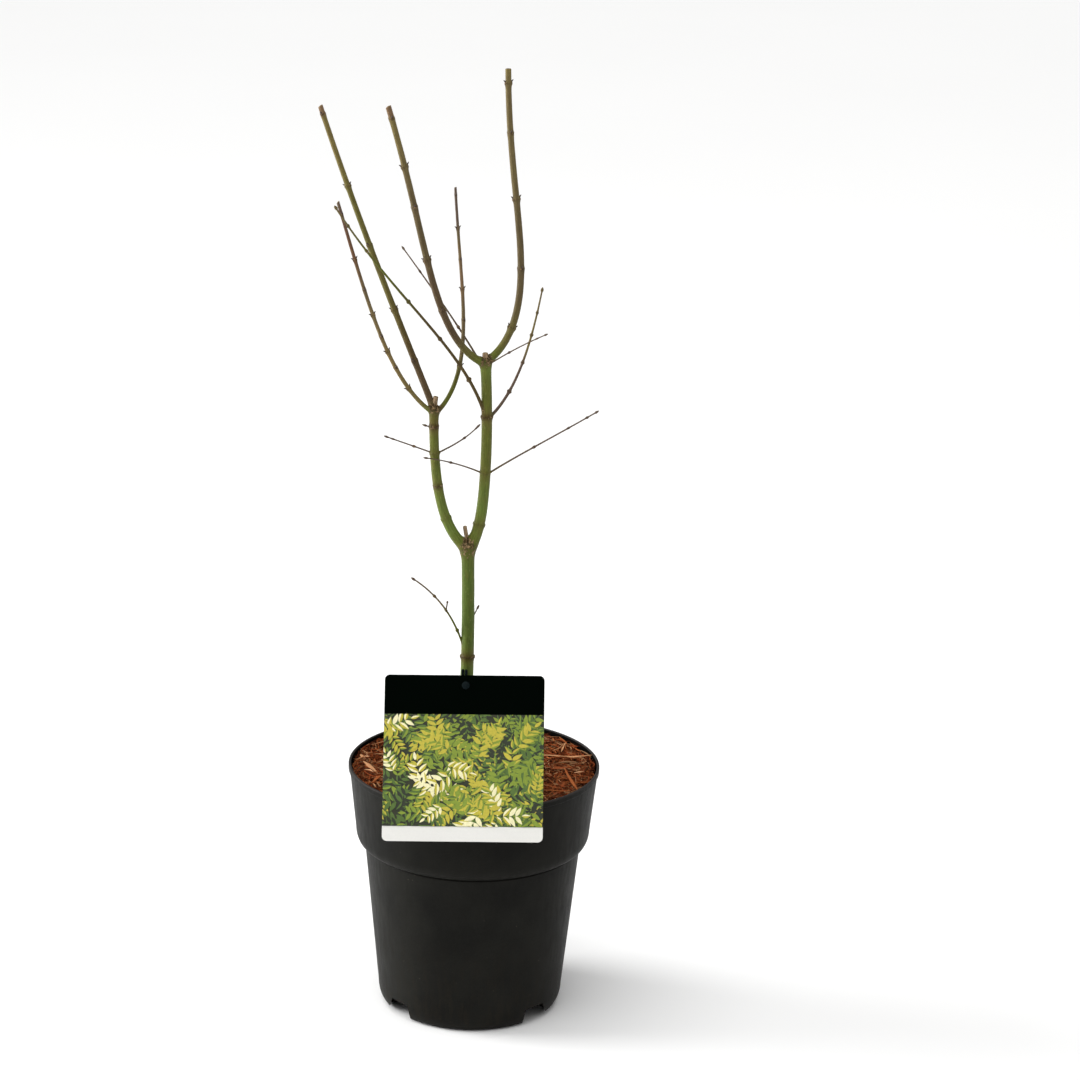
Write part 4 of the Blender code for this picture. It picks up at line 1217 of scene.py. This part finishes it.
def shred(x, y, heading, tilt, length, width, height, flatness, curl, rng):
    """A curved, tapering splinter of bark as a grid of points, its middle height over the bed."""
    share = np.linspace(-0.5, 0.5, FIBRE_RINGS)
    around = ring_turns(FIBRE_SIDES) + pi / 4
    direction = heading + 2 * rng.normal(0, curl) * share
    step = length / (FIBRE_RINGS - 1)
    x = x + np.cumsum(np.cos(direction)) * step - length / 2 * cos(heading)
    y = y + np.cumsum(np.sin(direction)) * step - length / 2 * sin(heading)
    arch = rng.normal(0, SHRED_ARCH * curl)
    z = bed_height(x, y) + height + tilt * share * length - arch * length * share**2
    rough = 1 + rng.uniform(-SHRED_ROUGH, SHRED_ROUGH, FIBRE_RINGS)
    half = width / 2 * (1 - SHRED_TAPER * np.abs(2 * share) ** SHRED_BLUNT) * rough
    spin = rng.normal(0, SHRED_SPIN * curl) + rng.normal(0, curl) * share
    level = np.stack([-np.sin(direction), np.cos(direction), 0 * direction], -1)
    wide = np.cos(spin)[:, None] * level + np.sin(spin)[:, None] * UP
    thin = np.cos(spin)[:, None] * UP - np.sin(spin)[:, None] * level
    spread = ring_out(around, wide[:, None, :], flatness * thin[:, None, :])
    return np.stack([x, y, z], -1)[:, None, :] + half[:, None, None] * spread


def slid_in(grid):
    """The shred slid in towards the middle until its furthest point is off the pot's wall."""
    x, y, z = grid.reshape(-1, 3).T
    radius = np.hypot(x, y)
    over = radius - collar_radius(z) + POT_WALL + 2 * WALL_ROOM
    far = over.argmax()
    shift = np.array((x[far], y[far], 0.0)) * max(over[far], 0.0) / radius[far]
    return grid - shift


def fits_in_pot(grid):
    """Whether a shred is inside the pot's wall, under its rim and off the trunk."""
    x, y, z = grid.reshape(-1, 3).T
    inside = np.hypot(x, y) < collar_radius(z) - POT_WALL - WALL_ROOM
    off_trunk = np.hypot(x - TRUNK_FOOT_X, y) > LIMBS["trunk"].widths[0] / 2 + TRUNK_ROOM
    return bool(np.all(inside & off_trunk & (z < POT_HEIGHT - TOP_ROOM)))


def scattered_shreds(count, lengths, widths, flatness, curl, rng):
    """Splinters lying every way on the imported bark."""
    grids = []
    least, most = lengths
    while len(grids) < count:
        distance = BED_RADIUS * sqrt(rng.uniform())
        turn = rng.uniform(0, 2 * pi)
        length = least + (most - least) * rng.beta(*LENGTH_BETA)
        heading = rng.uniform(0, 2 * pi)
        if distance > ALONG_WALL:
            heading = turn + pi / 2 + rng.normal(0, WALL_SPREAD)
        tilt = rng.normal(0, TILT_SPREAD)
        width = rng.uniform(*widths)
        height = HEAP * rng.uniform(*LAYER)
        grid = slid_in(shred(distance * cos(turn), distance * sin(turn), heading, tilt,
                             length, width, height, flatness, curl, rng))
        if fits_in_pot(grid):
            grids.append(grid)
    return grids


def make_bark_mulch(rng):
    soil = Look("packed_bark", (0.04, 0.014, 0.006), 0.9, 0.04)
    medium = frame["nodes"]["growing_medium"].data.materials
    medium.clear()
    medium.append(soil.mottled((420, 5, 0.7), 0.38, (SOIL_DARK, SOIL_PALE), None, (0.0012, 0.9)))
    for kind, tint, colour, count in TINTS:
        *shape, roughness = PIECES[kind]
        grids = scattered_shreds(count, *shape, rng)
        for x, y, heading, tilt, *size in STICKS.get(kind + "_" + tint, ()):
            grids.append(shred(x, y, radians(heading), radians(tilt), *size,
                               STICK_FLATNESS, STICK_CURL, rng))
        pieces = joined_grids("bark_" + kind + "s_" + tint, grids)
        dress(pieces, mulch_look(kind + "_" + tint, colour, roughness), "bark_mulch")


# Label card and its tie

CARD_WIDTH = 0.1262
CARD_HEIGHT = 0.1325
CARD_THICK = 0.0010
CARD_CORNER = 0.0040
CARD_LEAN = 30.0
CARD_ROLL = 1.3
CARD_X = -0.0044
CARD_BELOW_RIM = 0.0262
CARD_EDGE = 0.00012
HOLE_BELOW_TOP = 0.0083
HOLE_ACROSS = 0.0009
HOLE_RADIUS = 0.0021
TIE_HEIGHT = 0.0030
TIE_THICK = 0.0008
TIE_CLEARANCE = 0.0004
TIE_DROP = 0.0115  # the strap hangs this much lower at the trunk than behind the card
BAR_THICK = 0.0027
LUG_RADIUS = 0.0012
LUG_HEIGHT = 0.0100
LUG_PLACES = (-0.0030, -0.0003)
TIE_END_RADIUS = 0.0006
SHANK_LENGTH = 0.0042
STRAP_ON_SHANK = 0.75
BELT_STEPS = 24
BUTTON_RADIUS = 0.0031
BUTTON_THICK = 0.0012
BUTTON_ROUND = 0.0004
BUTTON_DOME = 0.0005
BUTTON_SUNK = 0.0001
BUTTON_STEPS = 64
LUG_STEPS = 24
EDGE_STEPS = 6
STRAP_EDGE = 0.0002

# Print on the card: a white foot strip, a leafy picture and a black head
STRIP_TOP = 0.0120
PICTURE_TOP = 0.1010
INKS = (  # of the strip, the picture, the head and the back: name, tone, gloss, share of mottle
    ("strip_print", srgb(222, 221, 216), 0.3, 0.015),
    ("picture_print", srgb(46, 48, 30), 0.3, 0.10),
    ("head_print", srgb(0, 3, 1), 0.01, 0.10),
    ("card_back", srgb(10, 14, 10), 0.1, 0.10),
)
BACK_INK = 3  # the number of the back's ink
FACING_OUT = 0.9  # a face of the card's front points out at least this much
LEAF_TINTS = {
    "shade": (srgb(44, 50, 34), 74),
    "green": (srgb(80, 104, 46), 90),
    "lime": (srgb(124, 142, 48), 68),
    "yellow": (srgb(184, 172, 60), 42),
    "cream": (srgb(232, 226, 180), 13),
}
LEAF_CLUMPS = ((0.017, 0.4), (0.026, 2.1))  # size and start of the waves that part light from dark
CLUMP_STRENGTH = 0.3
CLUMP_EDGE = (0.15, 0.7)  # how far off its own light a spray may lie
LEAF_PAIRS = 4
LEAF_LENGTH = 0.0088
LEAF_WIDTH = 0.0033
LEAF_LAYER = 0.0000002
LEAF_DEPTH = 1.1  # how far the pale sprays are mixed with the dark ones under them
LEAF_POINTS = 7
LEAF_SHAPE = (0.8, 0.9)  # where a leaf is widest, and how full it is
LEAF_LARGEST = 1.5  # which pair is the largest, counted from 0
LEAF_SHRINK = 0.12  # for each pair further from it
LEAF_STEP = 0.0042  # along the stem, from one pair of leaves to the next
LEAF_LEAN = 0.95  # radians from the stem
LEAF_TURN = 0.08
SPRAY_SIZES = (0.75, 1.25)
DARKER_HALVES = 0.6  # share of the leaves whose second half is a tint darker
PRINT_PROUD = 0.00003


def axes_matrix(x_axis, y_axis, z_axis, origin):
    rotation = Matrix((x_axis, y_axis, z_axis)).transposed().to_4x4()
    return Matrix.Translation(origin) @ rotation


def flat_outline(name, outlines, thickness, edge=0.0):
    """A plate in the local XY plane, thickness thick about Z=0, with rounded edges."""
    curve = bpy.data.curves.new(name, "CURVE")
    curve.dimensions = "2D"
    curve.fill_mode = "BOTH"
    curve.extrude = thickness / 2 - edge
    curve.bevel_depth = edge
    curve.bevel_resolution = 2
    curve.offset = -edge
    for outline in outlines:
        spline = curve.splines.new("POLY")
        spline.points.add(len(outline) - 1)
        for point, (x, y) in zip(spline.points, outline):
            point.co = (x, y, 0.0, 1.0)
        spline.use_cyclic_u = True
    return add_object(name, curve)


def rounded_rectangle(width, height, corner):
    """Outline from the middle of the lower edge's line, with round corners."""
    points = []
    for i, (x, y) in enumerate(((1, 1), (-1, 1), (-1, -1), (1, -1))):
        centre = (x * (width / 2 - corner), height / 2 + y * (height / 2 - corner))
        points += arc(*centre, corner, 90 * i, 90 * i + 90)
    return points


def card_matrix():
    """The card's frame: X across it, Y up it from its lower edge, Z out of its face."""
    lean = radians(CARD_LEAN)
    roll = radians(CARD_ROLL)
    face = Vector((0.0, -cos(lean), sin(lean)))
    level = Vector((1.0, 0.0, 0.0))
    slope = Vector((0.0, sin(lean), cos(lean)))
    across = level * cos(roll) + slope * sin(roll)
    up = slope * cos(roll) - level * sin(roll)
    rest = Vector((CARD_X, -RIM_RADIUS, POT_HEIGHT)) + face * (GAP + CARD_THICK / 2)
    return axes_matrix(across, up, face, rest - up * CARD_BELOW_RIM)


def hole_centre():
    """Where the tie goes through the card, in the card's frame."""
    return Vector((HOLE_ACROSS, CARD_HEIGHT - HOLE_BELOW_TOP, 0.0))


def split(bm, height, across=(0, 1, 0), **options):
    """Cuts the mesh along a plane at this distance from the card's lower edge or middle line."""
    geometry = bm.verts[:] + bm.edges[:] + bm.faces[:]
    place = Vector(across) * height
    bmesh.ops.bisect_plane(bm, geom=geometry, plane_co=place, plane_no=across, **options)


def make_card():
    """The plastic card, its face parted into a head, a picture and a foot strip."""
    hole = hole_centre()
    circle = arc(hole.x, hole.y, HOLE_RADIUS, 0, 360, HOLE_STEPS)[:-1]
    outline = rounded_rectangle(CARD_WIDTH, CARD_HEIGHT, CARD_CORNER)
    card = to_mesh(flat_outline("picture_card", [outline, circle], CARD_THICK, CARD_EDGE))
    for ink in INKS:
        card.data.materials.append(print_look(*ink))
    with edited(card.data) as bm:
        split(bm, STRIP_TOP)
        split(bm, PICTURE_TOP)
        for face in bm.faces:
            height = face.calc_center_median().y
            band = int(height > STRIP_TOP) + int(height > PICTURE_TOP)
            face.material_index = band if face.normal.z >= FACING_OUT else BACK_INK
    shade_round(card, CRISP_CARD)
    card.data.transform(card_matrix())
    dress(card, None, "label_plastic", "label_card")


def leaf_half(foot, heading, size, side, height):
    """Points of one half of a pointed leaf, between its midrib and its edge."""
    share = np.linspace(0, 1, LEAF_POINTS)
    widest, fullness = LEAF_SHAPE
    half = np.sin(pi * share**widest) ** fullness / 2
    ahead = np.array((cos(heading), sin(heading)))
    across = np.array((-ahead[1], ahead[0])) * side
    rib = foot + np.outer(share * LEAF_LENGTH * size, ahead)
    edge = rib + np.outer(half * LEAF_WIDTH * size, across)
    points = np.vstack([rib, edge[1:-1][::-1]])[::side]
    return np.column_stack([points, np.full(len(points), height)])


def spray_place(lightness, rng):
    """A random place on the picture. Pale sprays, near 1, and dark ones, near 0, keep to clumps."""
    while True:
        x = rng.uniform(-0.5, 0.5) * CARD_WIDTH
        y = rng.uniform(STRIP_TOP, PICTURE_TOP)
        light = 0.5
        for size, start in LEAF_CLUMPS:
            light += CLUMP_STRENGTH * sin(x / size + start) * cos(y / size - start)
        if abs(light - lightness) < rng.uniform(*CLUMP_EDGE):
            return np.array((x, y))


def print_leaves(rng):
    """A seeded scatter of sprays of pointed leaves over the picture, each tint a joined piece."""
    shapes = {tint: [] for tint in LEAF_TINTS}
    names = list(LEAF_TINTS)
    order = [index for index, name in enumerate(names) for _ in range(LEAF_TINTS[name][1])]
    order.sort(key=lambda index: index + LEAF_DEPTH * rng.normal())
    height = CARD_THICK / 2 + PRINT_PROUD
    for index in order:
        foot = spray_place(index / (len(names) - 1), rng)
        heading = rng.uniform(0, 2 * pi)
        size = rng.uniform(*SPRAY_SIZES)
        stem = np.array((cos(heading), sin(heading))) * LEAF_STEP * size
        for pair in range(LEAF_PAIRS + 1):
            grow = size * (1 - LEAF_SHRINK * abs(pair - LEAF_LARGEST))
            for lean in (0.0,) if pair == LEAF_PAIRS else (LEAF_LEAN, -LEAF_LEAN):
                turn = heading + lean + rng.normal(0, LEAF_TURN)
                darker = max(index - 1, 0) if rng.uniform() < DARKER_HALVES else index
                for side, tint in ((1, index), (-1, darker)):
                    half = leaf_half(foot + pair * stem, turn, grow, side, height)
                    shapes[names[tint]].append(half)
                height += LEAF_LAYER
    return shapes


def make_print(rng):
    """Leaves printed over the picture, trimmed to its edges."""
    half = CARD_WIDTH / 2 - CARD_EDGE
    for tint, outlines in print_leaves(rng).items():
        count = len(outlines[0])
        faces = [list(range(k * count, (k + 1) * count)) for k in range(len(outlines))]
        mesh = make_mesh("printed_leaves_" + tint, np.vstack(outlines), faces)
        with edited(mesh) as bm:
            split(bm, half, (1, 0, 0), clear_outer=True)
            split(bm, half, (-1, 0, 0), clear_outer=True)
            split(bm, PICTURE_TOP, clear_outer=True)
            split(bm, STRIP_TOP, clear_inner=True)
        obj = add_object("printed_leaves_" + tint, mesh)
        obj.matrix_world = card_matrix()
        dress(obj, print_look("leaf_" + tint, LEAF_TINTS[tint][0]), "label_plastic")


def belt(near, near_radius, far, far_radius):
    """Outline of a belt round two circles, in the XY plane."""
    span = far - near
    heading = degrees(atan2(span.y, span.x))
    opening = degrees(acos((near_radius - far_radius) / span.length))
    far_side = arc(far.x, far.y, far_radius, heading - opening, heading + opening, BELT_STEPS)
    end = heading + 360 - opening
    return far_side + arc(near.x, near.y, near_radius, heading + opening, end, BELT_STEPS)


def make_button(place, look):
    """The domed button in front of the card, with its shank."""
    top = CARD_THICK / 2 + GAP + BUTTON_THICK
    back = -SHANK_LENGTH
    shank = HOLE_RADIUS - GAP
    under = top - BUTTON_THICK
    flat = BUTTON_RADIUS - BUTTON_ROUND
    dome = oval(0.0, top - BUTTON_DOME - BUTTON_SUNK, flat, BUTTON_DOME, 90, 30, EDGE_STEPS)
    edge = arc(flat, under + BUTTON_ROUND, BUTTON_ROUND, 60, -90, EDGE_STEPS)
    stem = [(shank, under), (shank, back + BUTTON_ROUND), (shank - BUTTON_ROUND, back), (0.0, back)]
    button = turned("tie_button", dome + edge + stem, BUTTON_STEPS)
    shade_round(button, CRISP_TIE)
    button.matrix_world = place
    dress(button, look, "tie_plastic")


def make_lugs(centre, radius, look):
    """Upright lugs with round tops, just clear of the trunk."""
    top = arc(0.0, LUG_HEIGHT - LUG_RADIUS, LUG_RADIUS, 90, 0, EDGE_STEPS)
    for index, across in enumerate(LUG_PLACES):
        forward = sqrt((radius + LUG_RADIUS / 2) ** 2 - across**2)
        lug = turned("tie_lug_%d" % index, top + [(LUG_RADIUS, 0.0), (0.0, 0.0)], LUG_STEPS)
        shade_round(lug, CRISP_TIE)
        lug.location = centre + Vector((across, -forward, 0.0))
        dress(lug, look, "tie_plastic")


def make_strap(name, outlines, thickness, place, look, *replaced):
    """One flat piece of the tie, laid in the strap's slanting plane."""
    strap = flat_outline(name, outlines, thickness, STRAP_EDGE)
    strap.matrix_world = place
    strap = to_mesh(strap)
    shade_round(strap, CRISP_TIE)
    dress(strap, look, "tie_plastic", *replaced)


def make_tie():
    """The button in front of the card, and the strap round the trunk with its bar and lugs."""
    look = Look("tie_plastic", TIE_BLACK, 0.50, 0.03)
    look = look.mottled((900,), 0.35, (TIE_DARK, TIE_PALE), (0.42, 0.58), (0.00006,))
    hole = hole_centre()
    make_button(card_matrix() @ Matrix.Translation(hole), look)
    shank_end = card_matrix() @ (hole - Vector((0, 0, SHANK_LENGTH * STRAP_ON_SHANK)))
    trunk = LIMBS["trunk"]
    up_trunk = shank_end.z - TIE_DROP - SOIL_HEIGHT
    centre = Vector(places_at(trunk, up_trunk))
    inner = float(radius_at(trunk, up_trunk)) + TIE_CLEARANCE
    run = centre.y - shank_end.y
    slope = atan2(TIE_DROP, run)
    loop = Vector((centre.x, shank_end.y + run / cos(slope), 0.0))
    place = (Matrix.Translation(shank_end) @ Matrix.Rotation(-slope, 4, "X")
             @ Matrix.Translation((-shank_end.x, -shank_end.y, 0.0)))
    belts = [belt(loop, inner + room, shank_end, TIE_END_RADIUS + room) for room in (TIE_THICK, 0)]
    make_strap("tie_strap", belts, TIE_HEIGHT, place, look, "label_tie")
    half = inner - TIE_THICK / 4
    front = loop.y - inner - 2 * TIE_THICK
    back = loop.y - inner
    left = loop.x - half
    right = loop.x + half
    bar = ((left, front), (right, front), (right, back), (left, back))
    make_strap("tie_bar", [bar], BAR_THICK, place, look)
    make_lugs(centre, inner + TIE_THICK, look)


# Floor, light and camera

CAMERA_PLACE = (0.11975, -3.2, 1.4395)
CAMERA_AIM = (0.0488, 0.0, 0.3958)
CAMERA_ROLL = 1.41
CAMERA_LENS = 141.5
SENSOR = 36.0
FLOOR_SIZE = 40
FLOOR_PLACE = (0, 8, 0)
FLOOR_CELLS = 8
SKY_STRENGTH = 0.42
SUN_POWER = 2.0
SUN_AIM = (0.2, 0.3, -1.0)
SUN_SPREAD = 60
SOFTBOX_AIM = (0, 0, 0.2)
SOFTBOXES = {  # power, size and place
    "left_softbox": (78, 1.4, (-2.4, 0.2, 0.9)),
    "right_softbox": (5, 1.0, (2.4, 0.0, 1.0)),
}


def make_floor():
    bpy.ops.mesh.primitive_grid_add(x_subdivisions=FLOOR_CELLS, y_subdivisions=FLOOR_CELLS,
                                    size=FLOOR_SIZE, location=FLOOR_PLACE)
    floor = bpy.context.active_object
    floor.name = "floor"
    look = Look("pale_floor", FLOOR_WHITE, 0.75, 0.1)
    floor.data.materials.append(look.mottled((1.5,), 0.3, (FLOOR_DARK, FLOOR_PALE)))


def add_light(name, kind, power, place, aim):
    light = bpy.data.lights.new(name, kind)
    light.energy = power
    obj = add_object(name, light)
    obj.location = place
    obj.rotation_euler = (Vector(aim) - obj.location).to_track_quat("-Z", "Y").to_euler()
    return light


def add_softbox(name, power, size, place):
    light = add_light(name, "AREA", power, place, SOFTBOX_AIM)
    light.shape = "DISK"
    light.size = size


def make_lights():
    world = bpy.data.worlds.new("studio")
    bpy.context.scene.world = world
    world.use_nodes = True
    background = world.node_tree.nodes["Background"]
    background.inputs["Color"].default_value = (1.0, 1.0, 1.0, 1.0)
    background.inputs["Strength"].default_value = SKY_STRENGTH
    sun = add_light("soft_top_light", "SUN", SUN_POWER, (0, 0, 0), SUN_AIM)
    sun.angle = radians(SUN_SPREAD)
    for name, values in SOFTBOXES.items():
        add_softbox(name, *values)


def make_camera():
    data = bpy.data.cameras.new("camera")
    data.lens = CAMERA_LENS
    data.sensor_width = SENSOR
    data.sensor_fit = "HORIZONTAL"
    camera = add_object("camera", data)
    camera.location = CAMERA_PLACE
    look = (Vector(CAMERA_AIM) - camera.location).to_track_quat("-Z", "Y").to_matrix()
    camera.rotation_euler = (look @ Matrix.Rotation(radians(CAMERA_ROLL), 3, "Z")).to_euler()
    bpy.context.scene.camera = camera
    bpy.context.scene.view_settings.view_transform = "Standard"


make_camera()
make_lights()
make_floor()
make_pot()
make_bark_mulch(np.random.default_rng(SEED))
make_limbs(np.random.default_rng(SEED + 1))
make_card()
make_print(np.random.default_rng(SEED + 2))
make_tie()
